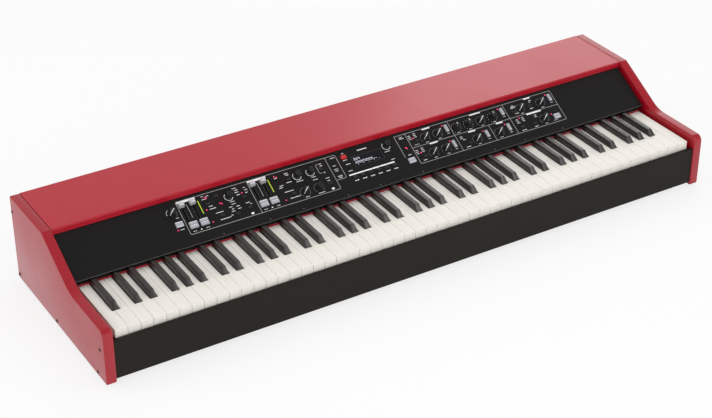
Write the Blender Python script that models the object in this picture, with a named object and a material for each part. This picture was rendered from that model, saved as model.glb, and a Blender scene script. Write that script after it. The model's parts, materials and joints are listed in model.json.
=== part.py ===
"""A stage piano with 88 keys, as an assembly of separate pieces.

Units are metres and +Z is up. The instrument stands on its feet at Z = 0, centred on X = 0 and Y = 0,
with the keys towards -Y. Inside, every piece is placed from two empties: the case axes, whose Y starts at
the front face of the cheeks and whose Z starts at their lower edge, and the panel axes, on the sloping
control panel.
"""
import math

import bmesh
import bpy
from mathutils import Matrix, Vector

MM = 0.001

# Clearances
GAP = 0.3 * MM
CAP_GAP = 0.4 * MM

# Keys
KEY_PITCH = 23.6 * MM
KEY_SPACE = 1.0 * MM
NATURALS = 52
KEYS = 88
KEYS_BELOW_FIRST = 9
NATURAL_TOP = 96.8 * MM
NATURAL_HEIGHT = 17.3 * MM
NATURAL_EDGE = 1.0 * MM
HEAD_LENGTH = 52.0 * MM
CAP_LENGTH = 148.4 * MM
SHARP_RISE = 10.5 * MM
SHARP_WIDTH = 12.6 * MM
SHARP_CROWN = 9.2 * MM
SHARP_NOSE = 10.5 * MM
SHARP_EDGE = 0.9 * MM
SHARP_SPACE = 0.9 * MM
LEVER_INSET = 1.0 * MM
LEVER_HEIGHT = 8.0 * MM
LEVER_TAIL = 10.0 * MM
LEVER_LENGTH = 74.5 * MM
TAIL_SPACE = 0.5 * MM
SHARP_LIFT = 1.2 * MM
FUSE_DEPTH = 0.5 * MM
RAIL_WALL = 3.0 * MM
RAIL_FOOT = 15.0 * MM
RIDGE_STEPS = 4
SHEET = 1.5 * MM
CREASE = 35.0
FIRST_HINGED_KEY = 40
HINGED_KEYS = 12

# Case
END_SPACE = 8.1 * MM
CHEEK_THICKNESS = 18.8 * MM
CHEEK_DEPTH = 388.6 * MM
CHEEK_FLAT_RISE = 10.7 * MM
CHEEK_NOSE_RADIUS = 13.0 * MM
CHEEK_HOLLOW_RADIUS = 70.0 * MM
CHEEK_BREAK_RADIUS = 8.0 * MM
CHEEK_CORNER_RADIUS = 4.0 * MM
CHEEK_EDGE = 2.2 * MM
SLOPE = math.radians(30.2)
COVER_LIP = 10.9 * MM
COVER_FOLD = 22.0 * MM
FOLD_RADIUS = 2.2 * MM
RAIL_FRONT = 2.7 * MM
RAIL_BOTTOM = 6.0 * MM
RAIL_COVER = 2.4 * MM
RAIL_THICKNESS = 6.3 * MM
RAIL_KEY_SPACE = 3.1 * MM
RAIL_EDGE = 1.5 * MM
PAN_BOTTOM = 3.0 * MM
PAN_FRONT_FLANGE = 42.0 * MM
PAN_REAR_FLANGE = 26.0 * MM
FELT_THICKNESS = 3.0 * MM
FELT_BOTTOM_RISE = 1.5 * MM
FELT_TOP_RISE = 4.0 * MM
FELT_HOLDER_WELD = 10.0 * MM
FOOT_STAND = 5.0 * MM
FOOT_RADIUS = 13.0 * MM
FOOT_TAPER = 1.5 * MM
FOOT_SIDES = 24
FOOT_INSET_X = 70.0 * MM
FOOT_INSET_Y = 45.0 * MM

# Key frame
FRAME_INSET = 13.9 * MM
FRAME_STOP_DEPTH = 12.0 * MM
FRAME_REAR_SPACE = 4.0 * MM
STOP_CLEARANCE = 0.8 * MM
KEY_DIP = 10.0 * MM

# Control panel
PANEL_SHEET = 1.5 * MM
PANEL_OVERHANG = 3.9 * MM
PANEL_VISIBLE = 98.2 * MM
PANEL_KEY_CLEARANCE = 0.8 * MM
PANEL_END_SPACE = 3.6 * MM
PANEL_UNDERLAP = 6.0 * MM
PANEL_FLANGE = 10.0 * MM

# Rows of controls, measured up the slope from the panel's lower edge
UPPER_ROW = 72.5 * MM
LOWER_ROW = 36.4 * MM
DUAL_ROW = 38.6 * MM
FADER_REST = 81.0 * MM

# Columns of controls, measured from the middle of the panel
LEVEL_X = -405.0 * MM
FADER_X = (-383.0 * MM, -361.0 * MM, -240.0 * MM, -218.0 * MM)
FADER_BUTTON_X = (-377.0 * MM, -356.0 * MM, -235.0 * MM, -214.0 * MM)
SOUND_KNOBS = ((-291.6 * MM, UPPER_ROW), (-150.0 * MM, UPPER_ROW), (-122.0 * MM, UPPER_ROW),
               (-150.0 * MM, LOWER_ROW), (-121.0 * MM, LOWER_ROW))
DIAL_X = 47.0 * MM
DIAL_ROW = 79.0 * MM
EFFECT_UPPER_X = (132.0 * MM, 160.8 * MM, 204.0 * MM, 232.3 * MM, 260.6 * MM, 289.0 * MM, 356.0 * MM,
                  405.7 * MM)
EFFECT_LOWER_X = (132.0 * MM, 160.8 * MM, 233.4 * MM, 285.0 * MM, 393.4 * MM)
SLIM_BUTTONS = ((183.6 * MM, 78.0 * MM), (314.8 * MM, 78.0 * MM), (430.6 * MM, 78.0 * MM),
                (181.8 * MM, 41.5 * MM), (258.9 * MM, 41.5 * MM), (310.7 * MM, 41.5 * MM))
SHIFT_BUTTON = (81.4 * MM, 34.0 * MM)
LAST_BUTTON = (423.2 * MM, 34.0 * MM)
LEVEL_BUTTON = (-401.4 * MM, 47.3 * MM)
STORE_BUTTON = (-45.3 * MM, 82.0 * MM)
SOFT_BUTTON_X = -43.0 * MM
SOFT_BUTTON_PITCH = 17.2 * MM
SOFT_BUTTON_ROW = 36.6 * MM
SOFT_BUTTONS = 6
SMALL_BUTTONS = ((-334.0 * MM, 70.4 * MM), (-313.0 * MM, 81.0 * MM), (-264.0 * MM, 63.6 * MM),
                 (-262.8 * MM, 40.0 * MM), (-289.6 * MM, 34.8 * MM), (-318.0 * MM, 40.8 * MM),
                 (-168.0 * MM, 71.5 * MM), (-172.0 * MM, 40.8 * MM), (-95.5 * MM, 38.8 * MM),
                 (-100.0 * MM, 72.5 * MM), (113.5 * MM, 71.0 * MM), (113.5 * MM, 35.0 * MM),
                 (216.0 * MM, 33.3 * MM), (339.5 * MM, 70.0 * MM), (380.0 * MM, 73.3 * MM),
                 (339.5 * MM, 33.3 * MM), (369.3 * MM, 33.3 * MM))
DISPLAY_SIZE = (64.0 * MM, 20.5 * MM)
DISPLAY_CENTRE = (0.5 * MM, 67.0 * MM)

# Caps, knobs and what stands under them
KNOB_RADIUS = 7.0 * MM
KNOB_TOP_RADIUS = 6.1 * MM
KNOB_HEIGHT = 13.0 * MM
KNOB_LIFT = 0.6 * MM
KNOB_SKIRT = 1.6 * MM
KNOB_EDGE = 0.8 * MM
KNOB_SIDES = 12
KNOB_CREASE = 40.0
KNOB_REST = math.radians(130.0)
DIAL_REST = math.radians(40.0)
# These turn both ways from the middle, so their pointers rest up the slope
MIDDLE_KNOBS = ("effect_knob_3", "effect_knob_4", "effect_knob_6")
POINTER_WIDTH = 1.3 * MM
POINTER_DEPTH = 0.5 * MM
POINTER_START = 0.6 * MM
SHAFT_RADIUS = 3.0 * MM
SHAFT_CLEARANCE = 0.6 * MM
POT_SIZE = 10.0 * MM
BOARD_SHEET = 1.6 * MM
BOARD_MARGIN = 14.0 * MM
BOARD_EDGE = 16.0 * MM
POT_SPACE = 3.0 * MM
POT_HEIGHT = 6.9 * MM
FADER_TRAVEL = 30.0 * MM
FADER_CAP = (12.0 * MM, 8.0 * MM, 9.0 * MM)
FADER_LIFT = 0.8 * MM
FADER_SLOT = 2.4 * MM
FADER_BLADE = (1.4 * MM, 4.0 * MM)
FADER_TRACK_WIDTH = 8.0 * MM
FADER_TRACK_EXTRA = 5.0 * MM
BUTTON_RISE = 2.6 * MM
BUTTON_EDGE = 0.5 * MM
BUTTON_TRAVEL = 1.2 * MM
SQUARE_BUTTON = (14.5 * MM, 10.5 * MM)
DUAL_BUTTON = (16.0 * MM, 13.0 * MM)
SLIM_BUTTON = (6.4 * MM, 15.5 * MM)
STORE_SIZE = (11.0 * MM, 8.0 * MM)
SMALL_BUTTON = (8.0 * MM, 4.6 * MM)
SMALL_RISE = 1.2 * MM
MODULE_MARGIN = 3.0 * MM

# Rear sockets
PLATE_HEIGHT = 34.0 * MM
PLATE_START = -15.0 * MM
PLATE_MARGIN = 25.0 * MM
PLATE_SHEET = 3.0 * MM
SOCKET_RISE = 46.0 * MM
SOCKET_WALL = 2.2 * MM
JACK_RADIUS = 3.25 * MM
JACK_DEPTH = 16.0 * MM
NUT_WALL = 2.4 * MM
NUT_RISE = 1.6 * MM
JACK_STEPS = (0.0, 50.0 * MM, 82.0 * MM, 132.0 * MM, 164.0 * MM)
ROUND_RADIUS = 7.6 * MM
ROUND_DEPTH = 9.0 * MM
ROUND_STEPS = (234.0 * MM, 266.0 * MM)
DATA_SOCKET = (8.6 * MM, 7.9 * MM)
DATA_DEPTH = 10.0 * MM
DATA_STEP = 316.0 * MM
INLET_END_SPACE = 121.7 * MM
INLET_RIM = 5.0 * MM
INLET_BAR = 4.0 * MM
INLET_BODY_MARGIN = 2.0 * MM
INLET_SHEET = 2.5 * MM
INLET_MOUTH = (24.0 * MM, 16.5 * MM)
INLET_RECESS = 17.0 * MM
INLET_BACK = 4.0 * MM
SWITCH_WIDTH = 13.0 * MM
SWITCH_HEIGHT = 19.0 * MM
SWITCH_TILT = math.radians(7.0)
SWITCH_AXIS_DEPTH = 3.0 * MM
SWITCH_BACK = 7.0 * MM
SWITCH_SPACE = 2.0 * MM
SWITCH_BACK_STEPS = 6
SWITCH_BACK_HALF = math.radians(60.0)
JACK_SIDES = 12
ROUND_SIDES = 16

# Main board
MAIN_BOARD_WIDTH = 300.0 * MM
MAIN_BOARD_X = 150.0 * MM
MAIN_BOARD_FRONT_SPACE = 7.1 * MM
MAIN_BOARD_REAR_SPACE = 38.0 * MM
STANDOFF_HEIGHT = 8.0 * MM
STANDOFF_RADIUS = 3.5 * MM
STANDOFF_INSET = 7.0 * MM
STANDOFF_SIDES = 10
CAPACITOR_RADIUS = 5.0 * MM
CAPACITOR_HEIGHT = 16.0 * MM
CAPACITOR_PITCH = 14.0 * MM
CAPACITORS = 4
CAPACITOR_SIDES = 8
CHIPS = ((-90.0 * MM, 24.0 * MM, 2.5 * MM), (-6.0 * MM, 19.0 * MM, 2.0 * MM),
         (60.0 * MM, 14.0 * MM, 1.6 * MM))

# Values worked out from the sizes above
BLOCK_HALF = NATURALS * KEY_PITCH / 2
INNER_HALF = BLOCK_HALF + END_SPACE
NATURAL_FRONT = RAIL_FRONT + RAIL_THICKNESS + RAIL_KEY_SPACE
CAP_END = NATURAL_FRONT + CAP_LENGTH
NATURAL_PIVOT = CAP_END + LEVER_LENGTH
SHARP_PIVOT = NATURAL_PIVOT + LEVER_TAIL + TAIL_SPACE + RAIL_WALL / 2
NATURAL_BOTTOM = NATURAL_TOP - NATURAL_HEIGHT
NATURAL_RIDGE = NATURAL_BOTTOM + LEVER_INSET
SHARP_RIDGE = NATURAL_RIDGE + SHARP_LIFT
SHARP_TOP = NATURAL_TOP + SHARP_RISE
CHEEK_FLAT = NATURAL_TOP + CHEEK_FLAT_RISE
PAN_FLOOR = PAN_BOTTOM + SHEET
FRAME_FLOOR = PAN_FLOOR + GAP + SHEET
FRAME_FRONT = NATURAL_FRONT + FRAME_INSET
RAIL_TOP = NATURAL_BOTTOM + RAIL_COVER
PANEL_FRONT = CAP_END - PANEL_OVERHANG
COVER_FRONT = PANEL_FRONT + PANEL_VISIBLE * math.cos(SLOPE)
PANEL_EDGE_TOP = SHARP_TOP + PANEL_KEY_CLEARANCE + PANEL_SHEET / math.cos(SLOPE)
PANEL_HALF = INNER_HALF - PANEL_END_SPACE
PANEL_LENGTH = (COVER_FRONT + PANEL_UNDERLAP - PANEL_FRONT) / math.cos(SLOPE)
LIP_RUN = COVER_FRONT + SHEET - PANEL_FRONT
COVER_LIP_BOTTOM = PANEL_EDGE_TOP + LIP_RUN * math.tan(SLOPE) + GAP / math.cos(SLOPE)
CHEEK_HEIGHT = COVER_LIP_BOTTOM + COVER_LIP
REAR_FOLD_BOTTOM = CHEEK_HEIGHT - COVER_FOLD
POT_TOP = PANEL_SHEET + POT_SPACE
BOARD_TOP = POT_TOP + POT_HEIGHT
JACK_X = [PLATE_START + PLATE_MARGIN + step for step in JACK_STEPS]
ROUND_X = [PLATE_START + PLATE_MARGIN + step for step in ROUND_STEPS]
DATA_X = PLATE_START + PLATE_MARGIN + DATA_STEP
PLATE_END = DATA_X + PLATE_MARGIN
SOCKET_DEPTH = JACK_DEPTH + SOCKET_WALL
SWITCH_HOLE = (SWITCH_WIDTH + 2 * CAP_GAP, SWITCH_HEIGHT + 4 * CAP_GAP)
INLET_FLANGE = (SWITCH_HOLE[0] + INLET_MOUTH[0] + INLET_BAR + 2 * INLET_RIM,
                max(SWITCH_HOLE[1], INLET_MOUTH[1]) + 2 * INLET_RIM)
INLET_X = INNER_HALF - INLET_END_SPACE
MOUTH_X = INLET_X + INLET_FLANGE[0] / 2 - INLET_RIM - INLET_MOUTH[0] / 2
SWITCH_X = INLET_X - INLET_FLANGE[0] / 2 + INLET_RIM + SWITCH_HOLE[0] / 2
INLET_FACE = CHEEK_DEPTH + GAP + INLET_SHEET
ROCKER_TIP = (SWITCH_AXIS_DEPTH + SWITCH_HEIGHT / 2 * math.tan(SWITCH_TILT), SWITCH_HEIGHT / 2)
ROCKER_REACH = ROCKER_TIP[0] * math.cos(SWITCH_TILT) + ROCKER_TIP[1] * math.sin(SWITCH_TILT)
OVERALL_DEPTH = INLET_FACE - SWITCH_AXIS_DEPTH + ROCKER_REACH
FELT_FRONT = CAP_END + GAP * 2
FELT_BOTTOM = SHARP_RIDGE + LEVER_HEIGHT + FELT_BOTTOM_RISE
FRAME_REAR = SHARP_PIVOT + RAIL_WALL / 2 + RAIL_FOOT + FRAME_REAR_SPACE
MAIN_BOARD_FRONT = FRAME_REAR + MAIN_BOARD_FRONT_SPACE
MAIN_BOARD_REAR = CHEEK_DEPTH - MAIN_BOARD_REAR_SPACE

# The colours, as red, green and blue in linear light
LACQUER_RED = (0.43, 0.008, 0.020)
PANEL_BLACK = (0.016, 0.015, 0.016)
RAIL_BLACK = (0.022, 0.020, 0.017)
KEY_WHITE = (0.80, 0.77, 0.71)
COVER_RED = (0.43, 0.008, 0.020)
SHARP_BLACK = (0.030, 0.026, 0.022)
FELT_RED = (0.36, 0.010, 0.020)
CAP_GREY = (0.45, 0.45, 0.47)
KNOB_BLACK = (0.014, 0.014, 0.014)
STORE_RED = (0.60, 0.030, 0.020)
STEEL = (0.50, 0.50, 0.52)
BOARD_GREEN = (0.030, 0.110, 0.055)
RUBBER_BLACK = (0.020, 0.020, 0.020)
GLASS_BLACK = (0.010, 0.010, 0.016)


def clear_scene():
    """Take away whatever the scene holds."""
    for thing in list(bpy.data.objects):
        bpy.data.objects.remove(thing, do_unlink=True)


def make_material(name, colour, roughness, metallic=0.0):
    """Return a Principled material."""
    material = bpy.data.materials.new(name)
    material.use_nodes = True
    shader = material.node_tree.nodes["Principled BSDF"]
    shader.inputs["Base Color"].default_value = (*colour, 1.0)
    shader.inputs["Roughness"].default_value = roughness
    shader.inputs["Metallic"].default_value = metallic
    return material


def make_empty(name, location, rotation=(0.0, 0.0, 0.0), parent=None):
    """Return an empty that other pieces are placed from."""
    empty = bpy.data.objects.new(name, None)
    empty.location = location
    empty.rotation_euler = rotation
    empty.parent = parent
    bpy.context.scene.collection.objects.link(empty)
    return empty


def make_piece(name, mesh_data, material, parent, location=(0.0, 0.0, 0.0), rotation=(0.0, 0.0, 0.0)):
    """Return an object that shows mesh_data, a bmesh or a finished mesh, at a place under its parent."""
    if isinstance(mesh_data, bmesh.types.BMesh):
        bmesh.ops.recalc_face_normals(mesh_data, faces=mesh_data.faces)
        mesh = bpy.data.meshes.new(name)
        mesh_data.to_mesh(mesh)
        mesh_data.free()
    else:
        mesh = mesh_data
    piece = bpy.data.objects.new(name, mesh)
    piece.location = location
    piece.rotation_euler = rotation
    piece.parent = parent
    if material is not None and not mesh.materials:
        mesh.materials.append(material)
    bpy.context.scene.collection.objects.link(piece)
    return piece


def bevel_edges(piece, width, segments, angle):
    """Round the edges of a piece that are sharper than an angle in degrees."""
    bevel = piece.modifiers.new("rounded_edges", "BEVEL")
    bevel.width = width
    bevel.segments = segments
    bevel.limit_method = "ANGLE"
    bevel.angle_limit = math.radians(angle)
    bevel.use_clamp_overlap = True


def combine(piece, tool_mesh, name, operation):
    """Cut a piece with, or join it to, another shape given in the piece's own axes."""
    tool = make_piece(name, tool_mesh, None, piece.parent, piece.location, piece.rotation_euler)
    tool.hide_render = True
    tool.display_type = "WIRE"
    boolean = piece.modifiers.new(name, "BOOLEAN")
    boolean.operation = operation
    boolean.solver = "EXACT"
    boolean.object = tool


def smooth(piece, angle):
    """Shade the round sides of a piece smooth and keep its sharp edges."""
    piece.data.shade_smooth()
    piece.data.set_sharp_from_angle(angle=math.radians(angle))


def add_box(bm, low, high):
    """Add a box from its lowest and highest corners and return its vertices."""
    low, high = Vector(low), Vector(high)
    size = high - low
    placing = Matrix.Translation((low + high) / 2) @ Matrix.Diagonal((*size, 1.0))
    return bmesh.ops.create_cube(bm, size=1.0, matrix=placing)["verts"]


def add_tapered_box(bm, low, high, taper):
    """Add a box whose top face is drawn in by taper on every side."""
    vertices = add_box(bm, low, high)
    middle = (Vector(low) + Vector(high)) / 2
    for vertex in vertices:
        if vertex.co.z > middle.z:
            vertex.co.x -= math.copysign(taper, vertex.co.x - middle.x)
            vertex.co.y -= math.copysign(taper, vertex.co.y - middle.y)


def add_rod(bm, centre, radius, length, sides, axis="Z"):
    """Add a closed cylinder that starts at centre and runs along an axis."""
    turn = {"Z": Matrix.Identity(4), "Y": Matrix.Rotation(math.radians(-90.0), 4, "X")}[axis]
    placing = Matrix.Translation(centre) @ turn @ Matrix.Translation((0.0, 0.0, length / 2))
    bmesh.ops.create_cone(bm, cap_ends=True, segments=sides, radius1=radius, radius2=radius,
                          depth=length, matrix=placing)


def round_corners(corners, segments, closed=True):
    """Return an outline with each corner (a, b, radius) replaced by an arc of that radius."""
    outline = []
    count = len(corners)
    for index, (a, b, radius) in enumerate(corners):
        is_end = not closed and index in (0, count - 1)
        if radius <= 0.0 or is_end:
            outline.append((a, b))
            continue
        here = Vector((a, b))
        before = (Vector(corners[index - 1][:2]) - here).normalized()
        after = (Vector(corners[(index + 1) % count][:2]) - here).normalized()
        half_angle = before.angle(after) / 2
        setback = radius / math.tan(half_angle)
        centre = here + (before + after).normalized() * radius / math.sin(half_angle)
        start, end = here + before * setback - centre, here + after * setback - centre
        sweep = start.angle_signed(end)
        for step in range(segments + 1):
            turned = Matrix.Rotation(-sweep * step / segments, 2) @ start
            outline.append(tuple(centre + turned))
    return outline


def sheet_outline(path, thickness):
    """Return the outline of a bent sheet whose one face follows path and whose other lies to its right."""
    points = [Vector(point) for point in path]
    offsets = []
    for index, point in enumerate(points):
        before = (point - points[index - 1]).normalized() if index else None
        after = (points[index + 1] - point).normalized() if index < len(points) - 1 else None
        along = [direction for direction in (before, after) if direction is not None]
        normals = [Vector((direction.y, -direction.x)) for direction in along]
        mitre = sum(normals, Vector((0.0, 0.0))).normalized()
        offsets.append(point + mitre * thickness / mitre.dot(normals[0]))
    return [tuple(point) for point in points] + [tuple(point) for point in reversed(offsets)]


def add_extrusion(bm, outline, start, end, axis):
    """Add a prism: an outline carried from start to end along X, Y or Z."""
    place = {"X": lambda a, b, s: (s, a, b),
             "Y": lambda a, b, s: (a, s, b),
             "Z": lambda a, b, s: (a, b, s)}[axis]
    near = [bm.verts.new(place(a, b, start)) for a, b in outline]
    far = [bm.verts.new(place(a, b, end)) for a, b in outline]
    count = len(outline)
    bm.faces.new(near)
    bm.faces.new(reversed(far))
    for index in range(count):
        following = (index + 1) % count
        bm.faces.new((near[index], far[index], far[following], near[following]))


def case_to_panel(y, z):
    """Return how far a point of the case lies up the panel's slope and above the panel's face."""
    return tuple(Matrix.Rotation(-SLOPE, 2) @ Vector((y - PANEL_FRONT, z - PANEL_EDGE_TOP)))


def key_layout():
    """Return the keys from the lowest A upwards, each with its kind, number, tail and centre.

    Every octave has two groups: three naturals with two sharps, and four naturals with three sharps. Behind
    the heads, a group's naturals and sharps share its width in equal slots, which places each sharp.
    """
    keys = []
    octave_start = -BLOCK_HALF - 5 * KEY_PITCH
    groups = ((0, "CcDdE"), (3, "FfGgAaB"))
    number = -KEYS_BELOW_FIRST
    while octave_start < BLOCK_HALF:
        for first, letters in groups:
            left = octave_start + first * KEY_PITCH
            naturals = (len(letters) + 1) // 2
            slot = naturals * KEY_PITCH / len(letters)
            for index, letter in enumerate(letters):
                number += 1
                slot_left = left + index * slot
                head_left = left + (index // 2) * KEY_PITCH
                key = {"number": number, "sharp": letter.islower(), "letter": letter,
                       "slot": (slot_left, slot_left + slot), "head": (head_left, head_left + KEY_PITCH)}
                if 1 <= number <= KEYS:
                    keys.append(key)
        octave_start += 7 * KEY_PITCH
    keys[-1]["slot"] = keys[-1]["head"]
    return keys


def add_lever(bm, end, rise, fuse):
    """Draw the lever of a key out of the lower rear face of its cap, back to Y = end."""
    bm.faces.ensure_lookup_table()
    bm.normal_update()
    rear = [face for face in bm.faces if face.normal.y > 0.9 and face.calc_center_median().z < NATURAL_TOP]
    face = max(rear, key=lambda item: item.calc_center_median().y)
    bmesh.ops.inset_region(bm, faces=[face], thickness=LEVER_INSET)
    bottom = NATURAL_BOTTOM + LEVER_INSET + GAP + rise - (FUSE_DEPTH + GAP if fuse else 0.0)
    top = NATURAL_BOTTOM + LEVER_INSET + rise + LEVER_HEIGHT
    middle = face.calc_center_median().z
    for vertex in face.verts:
        vertex.co.z = top if vertex.co.z > middle else bottom
    moved = bmesh.ops.extrude_face_region(bm, geom=[face])
    bmesh.ops.delete(bm, geom=[face], context="FACES_ONLY")
    for item in moved["geom"]:
        if isinstance(item, bmesh.types.BMVert):
            item.co.y = end


def natural_mesh(key, fuse):
    """Return the mesh of one natural: a head over the full width, a tail between the sharps and a lever."""
    bm = bmesh.new()
    head_left, head_right = key["head"][0] + KEY_SPACE / 2, key["head"][1] - KEY_SPACE / 2
    slot_left, slot_right = key["slot"]
    notch = (SHARP_WIDTH - (slot_right - slot_left)) / 2 + SHARP_SPACE
    has_left_notch = key["letter"] not in "CF" and key["number"] > 1
    has_right_notch = key["letter"] not in "EB" and key["number"] < KEYS
    tail_left = slot_left + notch if has_left_notch else head_left
    tail_right = slot_right - notch if has_right_notch else head_right
    head_end = NATURAL_FRONT + HEAD_LENGTH
    outline = [(head_left, NATURAL_FRONT), (head_right, NATURAL_FRONT)]
    if has_right_notch:
        outline += [(head_right, head_end), (tail_right, head_end)]
    outline += [(tail_right, CAP_END), (tail_left, CAP_END)]
    if has_left_notch:
        outline += [(tail_left, head_end), (head_left, head_end)]
    add_extrusion(bm, outline, NATURAL_BOTTOM, NATURAL_TOP, "Z")
    bmesh.ops.recalc_face_normals(bm, faces=bm.faces)
    add_lever(bm, NATURAL_PIVOT + LEVER_TAIL, 0.0, fuse)
    front_edges = [edge for edge in bm.edges
                   if all(v.co.z > NATURAL_TOP - GAP and v.co.y < NATURAL_FRONT + GAP for v in edge.verts)]
    bmesh.ops.bevel(bm, geom=front_edges, offset=NATURAL_EDGE, segments=2, profile=0.5, affect="EDGES")
    return bm


def sharp_mesh(key, fuse):
    """Return the mesh of one sharp: a block between the tails, a crown that narrows upwards, and a lever."""
    bm = bmesh.new()
    centre = sum(key["slot"]) / 2
    front = NATURAL_FRONT + HEAD_LENGTH + KEY_SPACE
    low = (centre - SHARP_WIDTH / 2, front, NATURAL_BOTTOM + GAP)
    high = (centre + SHARP_WIDTH / 2, CAP_END - KEY_SPACE / 2, NATURAL_TOP)
    add_box(bm, low, high)
    bm.normal_update()
    top = max(bm.faces, key=lambda item: item.calc_center_median().z)
    raised = bmesh.ops.extrude_face_region(bm, geom=[top])
    bmesh.ops.delete(bm, geom=[top], context="FACES_ONLY")
    crown = [item for item in raised["geom"] if isinstance(item, bmesh.types.BMVert)]
    for vertex in crown:
        vertex.co.z += SHARP_RISE
        vertex.co.x = centre + math.copysign(SHARP_CROWN / 2, vertex.co.x - centre)
        if vertex.co.y < front + SHARP_NOSE / 2:
            vertex.co.y += SHARP_NOSE
    bmesh.ops.recalc_face_normals(bm, faces=bm.faces)
    crown_edges = [edge for edge in bm.edges if all(v in crown for v in edge.verts)
                   and min(v.co.y for v in edge.verts) < high[1] - SHARP_NOSE]
    bmesh.ops.bevel(bm, geom=crown_edges, offset=SHARP_EDGE, segments=1, profile=0.5, affect="EDGES")
    add_lever(bm, SHARP_PIVOT + LEVER_TAIL, SHARP_LIFT, fuse)
    return bm


def is_hinged(key):
    """Tell whether a key turns by itself: the octave from middle C up to B does."""
    return FIRST_HINGED_KEY <= key["number"] < FIRST_HINGED_KEY + HINGED_KEYS


def build_keys(case, natural_finish, sharp_finish):
    """Build one octave of hinged keys and the other keys, fused with the rails that carry them."""
    fixed = {False: bmesh.new(), True: bmesh.new()}
    for key in key_layout():
        hinged = is_hinged(key)
        mesh = sharp_mesh(key, not hinged) if key["sharp"] else natural_mesh(key, not hinged)
        if hinged:
            pivot = Vector((sum(key["slot"]) / 2, SHARP_PIVOT if key["sharp"] else NATURAL_PIVOT,
                            (SHARP_RIDGE if key["sharp"] else NATURAL_RIDGE) - RAIL_WALL / 2))
            bmesh.ops.translate(mesh, verts=mesh.verts, vec=-pivot)
            note = key["letter"].lower() + ("_sharp" if key["sharp"] else "")
            make_piece("key_" + note, mesh, sharp_finish if key["sharp"] else natural_finish, case, pivot)
            continue
        one = bpy.data.meshes.new("one_key")
        bmesh.ops.recalc_face_normals(mesh, faces=mesh.faces)
        mesh.to_mesh(one)
        mesh.free()
        fixed[key["sharp"]].from_mesh(one)
        bpy.data.meshes.remove(one)
    for name, pivot, ridge, side, is_sharp, finish in (
            ("natural_keys", NATURAL_PIVOT, NATURAL_RIDGE, -1.0, False, natural_finish),
            ("sharp_keys", SHARP_PIVOT, SHARP_RIDGE, 1.0, True, sharp_finish)):
        rail = make_piece(name, pivot_rail_mesh(pivot, ridge, side), finish, case)
        combine(rail, fixed[is_sharp], name + "_fixed", "UNION")


def pivot_rail_mesh(pivot, ridge, side):
    """Return the rail that the levers rock on: a foot, an upright wall and a half-round ridge."""
    foot = FRAME_FLOOR + GAP
    half = RAIL_WALL / 2
    angles = [math.pi * step / RIDGE_STEPS for step in range(RIDGE_STEPS + 1)]
    ridge_arc = [(pivot - side * half * math.cos(angle), ridge - half + half * math.sin(angle))
                 for angle in angles]
    outline = [(pivot - side * half, foot), *ridge_arc, (pivot + side * half, foot + SHEET),
               (pivot + side * (half + RAIL_FOOT), foot + SHEET), (pivot + side * (half + RAIL_FOOT), foot)]
    bm = bmesh.new()
    add_extrusion(bm, outline, -BLOCK_HALF, BLOCK_HALF, "X")
    return bm


def cheek_outline():
    """Return a cheek's side view, from its lower front corner round to its nose."""
    slope_foot = COVER_FRONT - (CHEEK_HEIGHT - CHEEK_FLAT) / math.tan(SLOPE)
    corners = [(0.0, 0.0, CHEEK_CORNER_RADIUS), (CHEEK_DEPTH, 0.0, CHEEK_CORNER_RADIUS),
               (CHEEK_DEPTH, CHEEK_HEIGHT, CHEEK_CORNER_RADIUS),
               (COVER_FRONT, CHEEK_HEIGHT, CHEEK_BREAK_RADIUS),
               (slope_foot, CHEEK_FLAT, CHEEK_HOLLOW_RADIUS), (0.0, CHEEK_FLAT, CHEEK_NOSE_RADIUS)]
    return round_corners(corners, 5)


def build_cheeks(case, finish):
    """Build the two end blocks."""
    for name, side in (("left_cheek", -1.0), ("right_cheek", 1.0)):
        bm = bmesh.new()
        ends = sorted((side * INNER_HALF, side * (INNER_HALF + CHEEK_THICKNESS)))
        add_extrusion(bm, cheek_outline(), *ends, "X")
        cheek = make_piece(name, bm, finish, case)
        bevel_edges(cheek, CHEEK_EDGE, 2, 60.0)
        smooth(cheek, CREASE)


def build_top_cover(case, finish):
    """Build the cover: a sheet folded down at the front into a lip and at the rear over the rear panel."""
    path = round_corners([(COVER_FRONT, COVER_LIP_BOTTOM, 0.0), (COVER_FRONT, CHEEK_HEIGHT, FOLD_RADIUS),
                          (CHEEK_DEPTH, CHEEK_HEIGHT, FOLD_RADIUS), (CHEEK_DEPTH, REAR_FOLD_BOTTOM, 0.0)],
                         4, closed=False)
    bm = bmesh.new()
    half = INNER_HALF - GAP
    add_extrusion(bm, sheet_outline(path, SHEET), -half, half, "X")
    smooth(make_piece("top_cover", bm, finish, case), CREASE)


def build_front_rail(case, finish):
    """Build the bar below the keys."""
    back = RAIL_FRONT + RAIL_THICKNESS
    outline = round_corners([(RAIL_FRONT, RAIL_BOTTOM, RAIL_EDGE), (back, RAIL_BOTTOM, 0.0),
                             (back, RAIL_TOP, 0.0), (RAIL_FRONT, RAIL_TOP, RAIL_EDGE)], 3)
    bm = bmesh.new()
    half = INNER_HALF - GAP
    add_extrusion(bm, outline, -half, half, "X")
    smooth(make_piece("front_rail", bm, finish, case), CREASE)


def build_bottom_pan(case, finish):
    """Build the tray under the instrument, with a flange behind the rail and one inside the rear panel."""
    front = RAIL_FRONT + RAIL_THICKNESS + GAP
    rear = CHEEK_DEPTH - SHEET - GAP
    path = round_corners([(rear, PAN_REAR_FLANGE, 0.0), (rear, PAN_BOTTOM, FOLD_RADIUS),
                          (front, PAN_BOTTOM, FOLD_RADIUS), (front, PAN_FRONT_FLANGE, 0.0)], 3, closed=False)
    bm = bmesh.new()
    half = INNER_HALF - GAP
    add_extrusion(bm, sheet_outline(path, SHEET), -half, half, "X")
    smooth(make_piece("bottom_pan", bm, finish, case), CREASE)


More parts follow.
